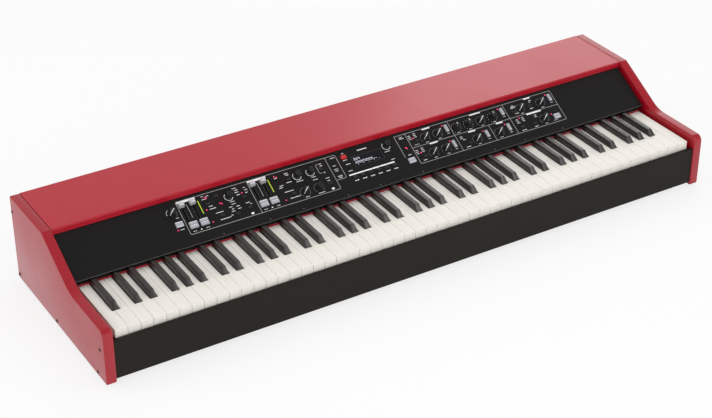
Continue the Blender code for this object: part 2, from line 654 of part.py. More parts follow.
def build_key_frame(case, finish):
    """Build the steel frame of the keys: a floor and a front upright that ends in the stop rail."""
    stop_drop = (NATURAL_PIVOT - FRAME_FRONT - FRAME_STOP_DEPTH) / (NATURAL_PIVOT - NATURAL_FRONT) * KEY_DIP
    stop_top = NATURAL_BOTTOM - stop_drop - STOP_CLEARANCE - KEY_SPACE
    bottom = FRAME_FLOOR - SHEET
    path = [(FRAME_REAR, bottom), (FRAME_FRONT, bottom), (FRAME_FRONT, stop_top),
            (FRAME_FRONT + FRAME_STOP_DEPTH, stop_top)]
    bm = bmesh.new()
    add_extrusion(bm, sheet_outline(path, SHEET), -BLOCK_HALF, BLOCK_HALF, "X")
    make_piece("key_frame", bm, finish, case)


def build_felt(case, finish):
    """Build the felt strip behind the caps of the keys."""
    bm = bmesh.new()
    add_box(bm, (-BLOCK_HALF, FELT_FRONT, FELT_BOTTOM),
            (BLOCK_HALF, FELT_FRONT + FELT_THICKNESS, NATURAL_TOP + FELT_TOP_RISE))
    make_piece("felt_strip", bm, finish, case)


def build_feet(case, finish):
    """Build four rubber feet, each a little narrower at the floor."""
    height = FOOT_STAND + PAN_BOTTOM - GAP
    for name, side_x, y in (("foot_front_left", -1.0, FOOT_INSET_Y), ("foot_front_right", 1.0, FOOT_INSET_Y),
                            ("foot_rear_left", -1.0, CHEEK_DEPTH - FOOT_INSET_Y),
                            ("foot_rear_right", 1.0, CHEEK_DEPTH - FOOT_INSET_Y)):
        bm = bmesh.new()
        bmesh.ops.create_cone(bm, cap_ends=True, segments=FOOT_SIDES, radius1=FOOT_RADIUS - FOOT_TAPER,
                              radius2=FOOT_RADIUS, depth=height,
                              matrix=Matrix.Translation((0.0, 0.0, height / 2)))
        foot = make_piece(name, bm, finish, case, (side_x * (INNER_HALF - FOOT_INSET_X), y, -FOOT_STAND))
        smooth(foot, CREASE)


def knob_places():
    """Return each knob's name and its place on the panel."""
    places = [("level_knob", (LEVEL_X, UPPER_ROW)), ("program_dial", (DIAL_X, DIAL_ROW))]
    places += [("sound_knob_%d" % (index + 1), place) for index, place in enumerate(SOUND_KNOBS)]
    effects = [(x, UPPER_ROW) for x in EFFECT_UPPER_X] + [(x, LOWER_ROW) for x in EFFECT_LOWER_X]
    places += [("effect_knob_%d" % (index + 1), place) for index, place in enumerate(effects)]
    return places


def grey_button_places():
    """Return the middle and size of each grey cap that stands on the panel board."""
    places = [((x, DUAL_ROW), DUAL_BUTTON) for x in FADER_BUTTON_X]
    places += [(place, SLIM_BUTTON) for place in SLIM_BUTTONS]
    places.append((LAST_BUTTON, SQUARE_BUTTON))
    return places


def moving_buttons():
    """Return the name, place and size of each button that slides."""
    return [("level_button", LEVEL_BUTTON, SQUARE_BUTTON), ("store_button", STORE_BUTTON, STORE_SIZE),
            ("shift_button", SHIFT_BUTTON, SQUARE_BUTTON)]


def add_cut(bm, centre, size, clearance):
    """Add a box that cuts right through the panel round a rectangle."""
    half_x, half_y = size[0] / 2 + clearance, size[1] / 2 + clearance
    add_box(bm, (centre[0] - half_x, centre[1] - half_y, -PANEL_SHEET * 2),
            (centre[0] + half_x, centre[1] + half_y, PANEL_SHEET))


def build_control_panel(panel, finish):
    """Build the panel: a sheet with folded ends, cut for every shaft, blade, cap and the display."""
    outline = [(-PANEL_HALF, 0.0), (PANEL_HALF, 0.0), (PANEL_HALF, -PANEL_FLANGE),
               (PANEL_HALF - PANEL_SHEET, -PANEL_FLANGE), (PANEL_HALF - PANEL_SHEET, -PANEL_SHEET),
               (-PANEL_HALF + PANEL_SHEET, -PANEL_SHEET), (-PANEL_HALF + PANEL_SHEET, -PANEL_FLANGE),
               (-PANEL_HALF, -PANEL_FLANGE)]
    bm = bmesh.new()
    add_extrusion(bm, outline, 0.0, PANEL_LENGTH, "Y")
    plate = make_piece("control_panel", bm, finish, panel)
    cuts = bmesh.new()
    for _, (x, along) in knob_places():
        add_rod(cuts, (x, along, -PANEL_SHEET * 2), SHAFT_RADIUS + SHAFT_CLEARANCE, PANEL_SHEET * 3,
                KNOB_SIDES)
    for x in FADER_X:
        slot_middle = FADER_REST - FADER_TRAVEL / 2
        add_cut(cuts, (x, slot_middle), (FADER_SLOT, FADER_TRAVEL + FADER_BLADE[1]), CAP_GAP)
    for centre, size in grey_button_places():
        add_cut(cuts, centre, size, CAP_GAP)
    for _, centre, size in moving_buttons():
        add_cut(cuts, centre, size, CAP_GAP)
    add_cut(cuts, DISPLAY_CENTRE, DISPLAY_SIZE, GAP)
    combine(plate, cuts, "panel_cuts", "DIFFERENCE")
    pads = bmesh.new()
    soft = [(SOFT_BUTTON_X + index * SOFT_BUTTON_PITCH, SOFT_BUTTON_ROW) for index in range(SOFT_BUTTONS)]
    for x, along in (*soft, *SMALL_BUTTONS):
        half_x, half_y = SMALL_BUTTON[0] / 2, SMALL_BUTTON[1] / 2
        add_tapered_box(pads, (x - half_x, along - half_y, -PANEL_SHEET / 2),
                        (x + half_x, along + half_y, SMALL_RISE), BUTTON_EDGE)
    combine(plate, pads, "panel_pads", "UNION")
    combine(plate, felt_holder_mesh(), "felt_holder", "UNION")


def felt_holder_mesh():
    """Return the angle welded under the panel: a wall behind the felt and a flange along the slope."""
    wall = FELT_FRONT + FELT_THICKNESS + GAP
    sunk = PANEL_SHEET / 2 / math.cos(SLOPE)
    bend = PANEL_EDGE_TOP + (wall - PANEL_FRONT) * math.tan(SLOPE) - sunk
    flange = FELT_HOLDER_WELD * math.cos(SLOPE), FELT_HOLDER_WELD * math.sin(SLOPE)
    path = [(wall, FELT_BOTTOM), (wall, bend), (wall + flange[0], bend + flange[1])]
    bm = bmesh.new()
    outline = [case_to_panel(y, z) for y, z in sheet_outline(path, SHEET)]
    add_extrusion(bm, outline, -BLOCK_HALF, BLOCK_HALF, "X")
    return bm


def knob_mesh():
    """Return the mesh of a knob: a turned cap with a cut pointer line, on a shaft that ends above its pot."""
    profile = [(0.0, -POT_TOP + GAP), (SHAFT_RADIUS, -POT_TOP + GAP), (SHAFT_RADIUS, KNOB_LIFT),
               (KNOB_RADIUS, KNOB_LIFT), (KNOB_RADIUS, KNOB_LIFT + KNOB_SKIRT),
               (KNOB_TOP_RADIUS, KNOB_HEIGHT - KNOB_EDGE), (KNOB_TOP_RADIUS - KNOB_EDGE, KNOB_HEIGHT),
               (0.0, KNOB_HEIGHT)]
    bm = bmesh.new()
    line = [bm.verts.new((radius, 0.0, height)) for radius, height in profile]
    edges = [bm.edges.new((first, second)) for first, second in zip(line, line[1:])]
    bmesh.ops.spin(bm, geom=line + edges, cent=(0.0, 0.0, 0.0), axis=(0.0, 0.0, 1.0), angle=math.tau,
                   steps=KNOB_SIDES, use_merge=True)
    bmesh.ops.remove_doubles(bm, verts=bm.verts, dist=0.01 * MM)
    knob = make_piece("knob_shape", bm, None, None)
    groove = bmesh.new()
    add_box(groove, (-POINTER_WIDTH / 2, POINTER_START, KNOB_HEIGHT - POINTER_DEPTH),
            (POINTER_WIDTH / 2, KNOB_RADIUS * 2, KNOB_HEIGHT + POINTER_DEPTH))
    combine(knob, groove, "pointer_groove", "DIFFERENCE")
    bpy.context.view_layer.update()
    graph = bpy.context.evaluated_depsgraph_get()
    mesh = bpy.data.meshes.new_from_object(knob.evaluated_get(graph))
    for helper in ("knob_shape", "pointer_groove"):
        bpy.data.objects.remove(bpy.data.objects[helper], do_unlink=True)
    return mesh


def build_knobs(panel, finish):
    """Build the knobs, which share one mesh."""
    mesh = knob_mesh()
    mesh.materials.clear()
    mesh.materials.append(finish)
    mesh.shade_smooth()
    mesh.set_sharp_from_angle(angle=math.radians(KNOB_CREASE))
    for name, (x, along) in knob_places():
        rest = DIAL_REST if name == "program_dial" else KNOB_REST
        if name in MIDDLE_KNOBS:
            rest = 0.0
        make_piece(name, mesh, finish, panel, (x, along, 0.0), (0.0, 0.0, rest))


def build_faders(panel, finish):
    """Build the fader caps, each on a blade that runs in its slot."""
    for index, x in enumerate(FADER_X):
        bm = bmesh.new()
        half_x, half_y = FADER_CAP[0] / 2, FADER_CAP[1] / 2
        add_tapered_box(bm, (-half_x, -half_y, FADER_LIFT), (half_x, half_y, FADER_CAP[2]),
                        BUTTON_EDGE * 2)
        cap = make_piece("fader_%d" % (index + 1), bm, finish, panel, (x, FADER_REST, 0.0))
        blade = bmesh.new()
        add_box(blade, (-FADER_BLADE[0] / 2, -FADER_BLADE[1] / 2, -POT_TOP + GAP),
                (FADER_BLADE[0] / 2, FADER_BLADE[1] / 2, FADER_LIFT + FADER_CAP[2] / 2))
        combine(cap, blade, "fader_blade_%d" % (index + 1), "UNION")


def build_moving_buttons(panel, finishes):
    """Build the buttons that slide in their holes."""
    for name, (x, along), size in moving_buttons():
        bm = bmesh.new()
        half_x, half_y = size[0] / 2, size[1] / 2
        bottom = BUTTON_TRAVEL - BOARD_TOP
        add_box(bm, (-half_x, -half_y, bottom), (half_x, half_y, BUTTON_RISE))
        top = [edge for edge in bm.edges if all(v.co.z > 0.0 for v in edge.verts)]
        bmesh.ops.bevel(bm, geom=top, offset=BUTTON_EDGE, segments=2, profile=0.5, affect="EDGES")
        make_piece(name, bm, finishes[name], panel, (x, along, 0.0))


def build_panel_board(panel, finish):
    """Build the panel's board, with pots, fader tracks, the display module and the fixed grey caps."""
    top = -BOARD_TOP
    bm = bmesh.new()
    left = LEVEL_X - BOARD_EDGE
    right = max(x for x, _ in SLIM_BUTTONS) + BOARD_EDGE
    add_box(bm, (left, BOARD_MARGIN, top - BOARD_SHEET), (right, FADER_REST + BOARD_MARGIN, top))
    board = make_piece("panel_board", bm, finish, panel)
    parts = bmesh.new()
    sunk = top - BOARD_SHEET / 2
    for _, (x, along) in knob_places():
        half = POT_SIZE / 2
        add_box(parts, (x - half, along - half, sunk), (x + half, along + half, -POT_TOP))
    for x in FADER_X:
        half = FADER_TRACK_WIDTH / 2
        low = FADER_REST - FADER_TRAVEL - FADER_TRACK_EXTRA
        add_box(parts, (x - half, low, sunk), (x + half, FADER_REST + FADER_TRACK_EXTRA, -POT_TOP))
    half_x, half_y = DISPLAY_SIZE[0] / 2 + MODULE_MARGIN, DISPLAY_SIZE[1] / 2 + MODULE_MARGIN
    x, along = DISPLAY_CENTRE
    dial_side = DIAL_X - POT_SIZE / 2 - GAP
    add_box(parts, (x - half_x, along - half_y, sunk),
            (min(x + half_x, dial_side), along + half_y, -PANEL_SHEET - CAP_GAP))
    for (x, along), size in grey_button_places():
        add_box(parts, (x - size[0] / 2, along - size[1] / 2, sunk),
                (x + size[0] / 2, along + size[1] / 2, BUTTON_RISE))
    combine(board, parts, "board_parts", "UNION")


def build_display(panel, finish):
    """Build the display window, flush with the panel."""
    x, along = DISPLAY_CENTRE
    half_x, half_y = DISPLAY_SIZE[0] / 2, DISPLAY_SIZE[1] / 2
    bm = bmesh.new()
    add_box(bm, (x - half_x, along - half_y, -PANEL_SHEET), (x + half_x, along + half_y, 0.0))
    make_piece("display_window", bm, finish, panel)


def build_rear_panel(case, finish):
    """Build the rear wall, cut for the connector plate and the power inlet."""
    half = INNER_HALF - GAP
    bm = bmesh.new()
    add_box(bm, (-half, CHEEK_DEPTH - SHEET, PAN_BOTTOM), (half, CHEEK_DEPTH, REAR_FOLD_BOTTOM - GAP))
    wall = make_piece("rear_panel", bm, finish, case)
    cuts = bmesh.new()
    plate_size = (PLATE_END - PLATE_START, PLATE_HEIGHT)
    for x, (width, height), margin in (((PLATE_START + PLATE_END) / 2, plate_size, 0.0),
                                       (INLET_X, INLET_FLANGE, INLET_BODY_MARGIN)):
        half_x, half_z = width / 2 - margin + GAP, height / 2 - margin + GAP
        add_box(cuts, (x - half_x, CHEEK_DEPTH - SHEET * 3, SOCKET_RISE - half_z),
                (x + half_x, CHEEK_DEPTH + SHEET, SOCKET_RISE + half_z))
    combine(wall, cuts, "rear_cuts", "DIFFERENCE")


def build_connector_plate(case, finish):
    """Build the plate with its sockets: five jacks with nuts, two round sockets and a data socket."""
    face = CHEEK_DEPTH
    inside = face - PLATE_SHEET / 2
    z = SOCKET_RISE
    bm = bmesh.new()
    add_box(bm, (PLATE_START, face - PLATE_SHEET, z - PLATE_HEIGHT / 2),
            (PLATE_END, face, z + PLATE_HEIGHT / 2))
    plate = make_piece("connector_plate", bm, finish, case)
    bodies = bmesh.new()
    bores = bmesh.new()
    sockets = [(x, JACK_RADIUS + NUT_WALL) for x in JACK_X] + [(x, ROUND_RADIUS) for x in ROUND_X]
    sockets.append((DATA_X, max(DATA_SOCKET) / 2))
    for x, reach in sockets:
        half = reach + SOCKET_WALL
        add_box(bodies, (x - half, face - SOCKET_DEPTH, z - half), (x + half, inside, z + half))
    for x in JACK_X:
        add_rod(bodies, (x, inside, z), JACK_RADIUS + NUT_WALL, PLATE_SHEET / 2 + NUT_RISE, JACK_SIDES, "Y")
        add_rod(bores, (x, face - JACK_DEPTH, z), JACK_RADIUS, JACK_DEPTH + NUT_RISE * 2, JACK_SIDES, "Y")
    for x in ROUND_X:
        add_rod(bores, (x, face - ROUND_DEPTH, z), ROUND_RADIUS, ROUND_DEPTH + NUT_RISE, ROUND_SIDES, "Y")
    add_box(bores, (DATA_X - DATA_SOCKET[0] / 2, face - DATA_DEPTH, z - DATA_SOCKET[1] / 2),
            (DATA_X + DATA_SOCKET[0] / 2, face + NUT_RISE, z + DATA_SOCKET[1] / 2))
    combine(plate, bodies, "socket_bodies", "UNION")
    combine(plate, bores, "socket_bores", "DIFFERENCE")


def build_power_inlet(case, finish):
    """Build the power inlet: a flange, a body, the mouth for the lead's plug and a well for the switch."""
    x, z = INLET_X, SOCKET_RISE
    face = INLET_FACE
    half_x, half_z = INLET_FLANGE[0] / 2, INLET_FLANGE[1] / 2
    bm = bmesh.new()
    add_box(bm, (x - half_x, face - INLET_SHEET, z - half_z), (x + half_x, face, z + half_z))
    inlet = make_piece("power_inlet", bm, finish, case)
    body = bmesh.new()
    body_x, body_z = half_x - INLET_BODY_MARGIN, half_z - INLET_BODY_MARGIN
    add_box(body, (x - body_x, face - INLET_RECESS - INLET_BACK, z - body_z),
            (x + body_x, face - INLET_SHEET / 2, z + body_z))
    wells = bmesh.new()
    for middle, size, depth in ((MOUTH_X, INLET_MOUTH, INLET_RECESS),
                                (SWITCH_X, SWITCH_HOLE, SWITCH_AXIS_DEPTH + SWITCH_BACK + SWITCH_SPACE)):
        add_box(wells, (middle - size[0] / 2, face - depth, z - size[1] / 2),
                (middle + size[0] / 2, face + INLET_SHEET, z + size[1] / 2))
    combine(inlet, body, "inlet_body", "UNION")
    combine(inlet, wells, "inlet_wells", "DIFFERENCE")


def build_power_switch(case, finish):
    """Build the rocker: two faces that meet in a shallow valley over its pivot, and a round back."""
    tip_y, tip_z = ROCKER_TIP
    outline = [(tip_y, -tip_z), (SWITCH_AXIS_DEPTH, 0.0), (tip_y, tip_z)]
    turned = [(Matrix.Rotation(SWITCH_TILT, 2) @ Vector(point)) for point in outline]
    angles = [SWITCH_BACK_HALF * (1.0 - 2.0 * step / SWITCH_BACK_STEPS)
              for step in range(SWITCH_BACK_STEPS + 1)]
    back = [(-SWITCH_BACK * math.cos(angle), SWITCH_BACK * math.sin(angle)) for angle in angles]
    bm = bmesh.new()
    add_extrusion(bm, [tuple(point) for point in turned] + back, -SWITCH_WIDTH / 2, SWITCH_WIDTH / 2, "X")
    rocker = make_piece("power_switch", bm, finish, case,
                        (SWITCH_X, INLET_FACE - SWITCH_AXIS_DEPTH, SOCKET_RISE))
    smooth(rocker, CREASE)


def build_main_board(case, finish):
    """Build the main board on its standoffs, with its chips, capacitors and plug headers."""
    half_x, half_y = MAIN_BOARD_WIDTH / 2, (MAIN_BOARD_REAR - MAIN_BOARD_FRONT) / 2
    x, y = MAIN_BOARD_X, (MAIN_BOARD_REAR + MAIN_BOARD_FRONT) / 2
    floor = PAN_FLOOR + GAP
    bottom = floor + STANDOFF_HEIGHT
    top = bottom + BOARD_SHEET
    bm = bmesh.new()
    add_box(bm, (x - half_x, y - half_y, bottom), (x + half_x, y + half_y, top))
    board = make_piece("main_board", bm, finish, case)
    parts = bmesh.new()
    for side_x in (-1.0, 1.0):
        for side_y in (-1.0, 1.0):
            corner = (x + side_x * (half_x - STANDOFF_INSET), y + side_y * (half_y - STANDOFF_INSET), floor)
            add_rod(parts, corner, STANDOFF_RADIUS, STANDOFF_HEIGHT + BOARD_SHEET / 2, STANDOFF_SIDES)
    for step, width, height in CHIPS:
        add_box(parts, (x + step - width / 2, y - width / 2, top - BOARD_SHEET / 2),
                (x + step + width / 2, y + width / 2, top + height))
    for index in range(CAPACITORS):
        middle = x + half_x - CAPACITOR_PITCH * (index + 1)
        add_rod(parts, (middle, y + half_y / 2, top - BOARD_SHEET / 2), CAPACITOR_RADIUS, CAPACITOR_HEIGHT,
                CAPACITOR_SIDES)
    combine(board, parts, "main_board_parts", "UNION")


def main():
    """Build the whole instrument."""
    clear_scene()
    red = make_material("red_lacquer", LACQUER_RED, 0.30)
    red_sheet = make_material("red_sheet", COVER_RED, 0.30)
    black_panel = make_material("panel_black", PANEL_BLACK, 0.42)
    rail_black = make_material("rail_black", RAIL_BLACK, 0.50)
    natural = make_material("natural_white", KEY_WHITE, 0.35)
    sharp = make_material("sharp_black", SHARP_BLACK, 0.50)
    felt = make_material("red_felt", FELT_RED, 0.95)
    grey = make_material("cap_grey", CAP_GREY, 0.45)
    knob = make_material("knob_black", KNOB_BLACK, 0.40)
    store = make_material("store_red", STORE_RED, 0.40)
    steel = make_material("zinc_steel", STEEL, 0.35, 1.0)
    board = make_material("board_green", BOARD_GREEN, 0.55)
    rubber = make_material("foot_rubber", RUBBER_BLACK, 0.85)
    glass = make_material("display_glass", GLASS_BLACK, 0.12)
    socket = make_material("socket_black", KNOB_BLACK, 0.45)

    case = make_empty("case_axes", (0.0, -OVERALL_DEPTH / 2, FOOT_STAND))
    panel = make_empty("panel_axes", (0.0, PANEL_FRONT, PANEL_EDGE_TOP), (SLOPE, 0.0, 0.0), case)
    build_cheeks(case, red)
    build_top_cover(case, red_sheet)
    build_rear_panel(case, red_sheet)
    build_bottom_pan(case, rail_black)
    build_feet(case, rubber)
    build_front_rail(case, rail_black)
    build_key_frame(case, steel)
    build_keys(case, natural, sharp)
    build_felt(case, felt)
    build_control_panel(panel, black_panel)
    build_panel_board(panel, grey)
    build_display(panel, glass)
    build_knobs(panel, knob)
    build_faders(panel, grey)
    build_moving_buttons(panel, {"level_button": grey, "store_button": store, "shift_button": grey})
    build_main_board(case, board)
    build_connector_plate(case, socket)
    build_power_inlet(case, socket)
    build_power_switch(case, socket)
    bpy.context.view_layer.update()


main()
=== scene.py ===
"""The looks of a stage piano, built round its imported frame.

Shapes are worked out in millimetres and in one of two sets of axes. The case axes have their Y start at the front
face of the cheeks and their Z at the cheeks' lower edge. The panel axes lie on the sloping control panel: the first
runs to the right, the second up the slope from the panel's lower edge, and the third straight out of its face.
"""
import json
import logging
import math
from collections.abc import Callable, Iterable, Sequence
from dataclasses import dataclass, field
from enum import Enum

import bmesh
import bpy
import numpy as np
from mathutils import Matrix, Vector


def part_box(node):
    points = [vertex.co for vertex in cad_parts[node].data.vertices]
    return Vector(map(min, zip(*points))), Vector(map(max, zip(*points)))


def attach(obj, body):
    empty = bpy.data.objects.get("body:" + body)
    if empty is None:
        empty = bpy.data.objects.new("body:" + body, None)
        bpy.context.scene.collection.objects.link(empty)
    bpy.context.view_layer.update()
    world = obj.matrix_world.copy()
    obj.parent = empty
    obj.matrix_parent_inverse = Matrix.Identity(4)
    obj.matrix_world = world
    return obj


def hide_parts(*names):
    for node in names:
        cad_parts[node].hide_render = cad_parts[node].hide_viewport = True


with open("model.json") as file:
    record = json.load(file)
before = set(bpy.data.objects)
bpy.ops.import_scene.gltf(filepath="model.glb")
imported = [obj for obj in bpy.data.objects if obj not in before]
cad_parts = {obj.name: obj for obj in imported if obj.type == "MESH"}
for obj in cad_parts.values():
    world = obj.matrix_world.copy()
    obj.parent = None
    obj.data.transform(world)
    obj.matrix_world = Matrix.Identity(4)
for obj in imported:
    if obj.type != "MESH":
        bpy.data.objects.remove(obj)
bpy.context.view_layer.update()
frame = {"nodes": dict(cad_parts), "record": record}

LOG = logging.getLogger("stage_piano")
MM = 0.001
Colour = tuple[float, float, float]
Place = tuple[float, float]


def unit(vectors: np.ndarray) -> np.ndarray:
    """Return each vector, which lies along the last axis, divided by its own length."""
    return vectors / np.linalg.norm(vectors, axis=-1, keepdims=True)


@dataclass(frozen=True)
class Axes:
    """The two sets of axes that shapes are worked out in."""

    panel_front: float = 156.6
    panel_top: float = 109.836
    slope: float = math.radians(30.2)

    @staticmethod
    def _start() -> np.ndarray:
        """Return where the case axes start in the row frame: level with the lowest corner of the left cheek."""
        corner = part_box("left_cheek")[0]
        return np.array((0.0, corner.y, corner.z))

    def case(self, points: np.ndarray) -> np.ndarray:
        """Turn points of the case axes, in millimetres, into metres of the row frame."""
        return points * MM + self._start()

    def from_row(self, point: Sequence[float]) -> np.ndarray:
        """Turn a point of the row frame, in metres, into millimetres of the case axes."""
        return (np.asarray(point) - self._start()) / MM

    def panel(self, points: np.ndarray) -> np.ndarray:
        """Turn points of the panel axes into metres of the row frame.

        The second and third coordinates are turned about X by the slope, then moved to the panel's lower edge.

        Args:
            points: Coordinates in millimetres, one point a row.

        Returns:
            The same points in metres.
        """
        cosine, sine = math.cos(self.slope), math.sin(self.slope)
        turned = np.stack((points[:, 0],
                           self.panel_front + points[:, 1] * cosine - points[:, 2] * sine,
                           self.panel_top + points[:, 1] * sine + points[:, 2] * cosine), axis=1)
        return self.case(turned)


AXES = Axes()


class Grain(Enum):
    """How far a finish's fine grain is stretched along each axis."""

    EVEN = (1.0, 1.0, 1.0)
    STREAKED = (1.0, 0.05, 1.0)
    BRUSHED = (0.04, 1.0, 1.0)


def wire(tree: bpy.types.NodeTree, node: bpy.types.Node, *first: object, **named: object) -> bpy.types.Node:
    """Give a shader node its inputs: a value is set, and another node's socket is linked.

    Args:
        tree: The tree that holds the node.
        node: The node.
        first: What goes to its first inputs, in order.
        named: What goes to inputs by name, with an underscore for each space.

    Returns:
        The node.
    """
    for key, value in (*enumerate(first), *named.items()):
        socket = node.inputs[key.replace("_", " ") if isinstance(key, str) else key]
        if isinstance(value, bpy.types.NodeSocket):
            tree.links.new(value, socket)
        else:
            socket.default_value = value
    return node


def add_node(tree: bpy.types.NodeTree, kind: str, *first: object, **named: object) -> bpy.types.Node:
    """Add a shader node of a kind to a tree, with its inputs."""
    return wire(tree, tree.nodes.new("ShaderNode" + kind), *first, **named)


def worked_out(tree: bpy.types.NodeTree, operation: str, *values: object) -> bpy.types.NodeSocket:
    """Add a node that works out an operation on two values.

    Args:
        tree: The tree that gets the node.
        operation: The operation's name.
        values: Two numbers or sockets.

    Returns:
        The result's socket.
    """
    node = add_node(tree, "Math", *values)
    node.operation = operation
    return node.outputs[0]


def spread(tree: bpy.types.NodeTree, value: bpy.types.NodeSocket, span: Place, onto: Place) -> bpy.types.NodeSocket:
    """Return a value with its span mapped onto another one."""
    return add_node(tree, "MapRange", Value=value, From_Min=span[0], From_Max=span[1], To_Min=onto[0],
                    To_Max=onto[1]).outputs["Result"]


# The materials made so far, by the name of their finish, and the span that most of a noise's values lie in.
MADE: dict[str, bpy.types.Material] = {}
NOISE_SPAN = (0.3, 0.7)


@dataclass(frozen=True)
class Finish:
    """A surface finish: its colour, its gloss and the fine grain that both follow.

    The grain is a noise in the piece's own place. It shifts the colour by the shade and raises the surface by the
    depth, and a second, much wider noise shifts the roughness, as handling does. Sizes are in millimetres.
    """

    name: str
    colour: Colour
    roughness: float
    grain: Grain = Grain.EVEN
    metallic: float = 0.0
    coat: float = 0.0
    coat_roughness: float = 0.08
    specular: float = 0.5
    sheen: float = 0.0
    shade: float = 0.05
    uneven: float = 0.04
    uneven_size: float = 60.0
    grain_size: float = 0.5
    depth: float = 0.01
    glow: float = 0.0

    def material(self) -> bpy.types.Material:
        """Make the material, or find it where it was made before.

        Returns:
            The material.
        """
        if self.name in MADE:
            return MADE[self.name]
        made = MADE[self.name] = bpy.data.materials.new("finish_" + self.name)
        made.use_nodes = True
        tree = made.node_tree
        place = add_node(tree, "TexCoord").outputs["Object"]
        stretch = add_node(tree, "Mapping", Scale=self.grain.value, Vector=place)
        fine = self._noise(tree, stretch.outputs["Vector"], self.grain_size, 5.0)
        wide = self._noise(tree, place, self.uneven_size, 3.0)
        tint = add_node(tree, "ValToRGB", fine)
        for end, position, share in zip(tint.color_ramp.elements, NOISE_SPAN, (1 - self.shade, 1 + self.shade)):
            end.position = position
            end.color = (*(min(part * share, 1.0) for part in self.colour), 1.0)
        colour = tint.outputs["Color"]
        rough = spread(tree, wide, NOISE_SPAN, (max(self.roughness - self.uneven, 0.02),
                                                min(self.roughness + self.uneven, 1.0)))
        bump = add_node(tree, "Bump", Distance=self.depth * MM, Height=fine)
        shader = wire(tree, tree.nodes["Principled BSDF"], Base_Color=colour, Roughness=rough,
                      Normal=bump.outputs["Normal"], Metallic=self.metallic, Specular_IOR_Level=self.specular,
                      Coat_Weight=self.coat, Coat_Roughness=self.coat_roughness, Sheen_Weight=self.sheen)
        if self.glow:
            wire(tree, shader, Emission_Color=colour, Emission_Strength=self.glow)
        return made

    @staticmethod
    def _noise(tree: bpy.types.NodeTree, vector: bpy.types.NodeSocket, size: float,
               detail: float) -> bpy.types.NodeSocket:
        """Return a noise whose waves are about size millimetres wide, with finer waves up to the detail."""
        return add_node(tree, "TexNoise", Scale=1.0 / (size * MM), Detail=detail, Vector=vector).outputs["Fac"]


LACQUER = Finish("lacquered_wood", (0.335, 0.002, 0.012), 0.34, coat=0.3, coat_roughness=0.22, shade=0.02,
                 grain_size=2.6, uneven_size=110.0, specular=0.45)
SHEET_PAINT = Finish("painted_sheet", (0.42, 0.001, 0.014), 0.33, coat=0.3, coat_roughness=0.25, shade=0.015,
                     grain_size=2.4, depth=0.006, uneven=0.03, uneven_size=140.0, specular=0.45)
PANEL_BLACK = Finish("panel_black", (0.01, 0.009, 0.009), 0.42, shade=0.12, grain_size=0.35, depth=0.012,
                     specular=0.2)
RAIL_BLACK = Finish("rail_black", (0.014, 0.012, 0.009), 0.5, shade=0.15, grain_size=0.6, depth=0.03, specular=0.13)
KEY_WHITE = Finish("key_white", (0.8, 0.77, 0.71), 0.38, Grain.STREAKED, shade=0.012, depth=0.004, uneven=0.06,
                   uneven_size=25.0)
KEY_BLACK = Finish("key_black", (0.016, 0.0135, 0.011), 0.38, Grain.STREAKED, shade=0.35, grain_size=0.6, depth=0.02,
                   uneven=0.07, uneven_size=12.0, specular=0.85, coat=0.3, coat_roughness=0.3)
FELT = Finish("red_felt", (0.4, 0.003, 0.016), 0.95, shade=0.25, grain_size=0.45, depth=0.25, sheen=0.4)
ZINC = Finish("zinc_sheet", (0.52, 0.52, 0.54), 0.35, Grain.BRUSHED, metallic=1.0, shade=0.08, grain_size=0.6,
              depth=0.005)
BOARD = Finish("board_green", (0.018, 0.085, 0.04), 0.45, shade=0.2, grain_size=1.5)
RUBBER = Finish("foot_rubber", (0.018, 0.018, 0.018), 0.85, shade=0.2, depth=0.05)
SCREW_BLACK = Finish("screw_black", (0.012, 0.011, 0.011), 0.42, metallic=0.6, shade=0.15, grain_size=0.3)
SOCKET_BLACK = Finish("socket_black", (0.014, 0.014, 0.014), 0.45, shade=0.15, grain_size=0.4, depth=0.015)
WHITE_PRINT = Finish("white_print", (0.84, 0.84, 0.85), 0.5, shade=0.04, grain_size=0.3, depth=0.002)
GREY_PRINT = Finish("grey_print", (0.34, 0.335, 0.33), 0.5, grain_size=0.3, depth=0.002)
# A lighter grey than the panel: a painted highlight along the panel's bent lower edge.
EDGE_HIGHLIGHT = Finish("painted_edge_highlight", (0.13, 0.13, 0.12), 0.38, shade=0.1, grain_size=0.4, depth=0.004)
CAP_GREY = Finish("cap_grey", (0.38, 0.38, 0.42), 0.4, shade=0.03, grain_size=0.4, depth=0.006)
FADER_GREY = Finish("fader_grey", (0.42, 0.42, 0.45), 0.38, shade=0.03, grain_size=0.4, depth=0.005)
CAP_PALE = Finish("cap_pale", (0.66, 0.66, 0.7), 0.34, shade=0.03, grain_size=0.4, depth=0.004)
KNOB_BLACK = Finish("knob_black_rubber", (0.012, 0.012, 0.012), 0.46, shade=0.15, grain_size=0.3, depth=0.012)
POINTER_WHITE = Finish("pointer_white", (0.8, 0.8, 0.8), 0.45, shade=0.03, grain_size=0.3, depth=0.002)
PAD_BLACK = Finish("pad_rubber", (0.016, 0.016, 0.016), 0.5, shade=0.12, grain_size=0.3, depth=0.008)
STORE_RED = Finish("store_cap_red", (0.52, 0.022, 0.02), 0.36, grain_size=0.4, depth=0.004)
LAMP_RED = Finish("lamp_red", (1.0, 0.045, 0.16), 0.3, depth=0.002, glow=1.2)
LAMP_GREEN = Finish("lamp_green", (0.42, 0.58, 0.03), 0.3, depth=0.002, glow=0.6)
LAMP_OFF = Finish("lamp_off", (0.05, 0.01, 0.01), 0.25, shade=0.1, depth=0.002)
GLASS = Finish("display_glass", (0.008, 0.007, 0.012), 0.1, shade=0.1, grain_size=4.0, depth=0.001)
GLYPH = Finish("display_light", (0.62, 0.64, 0.74), 0.4, shade=0.04, grain_size=0.4, depth=0.001, glow=0.3)
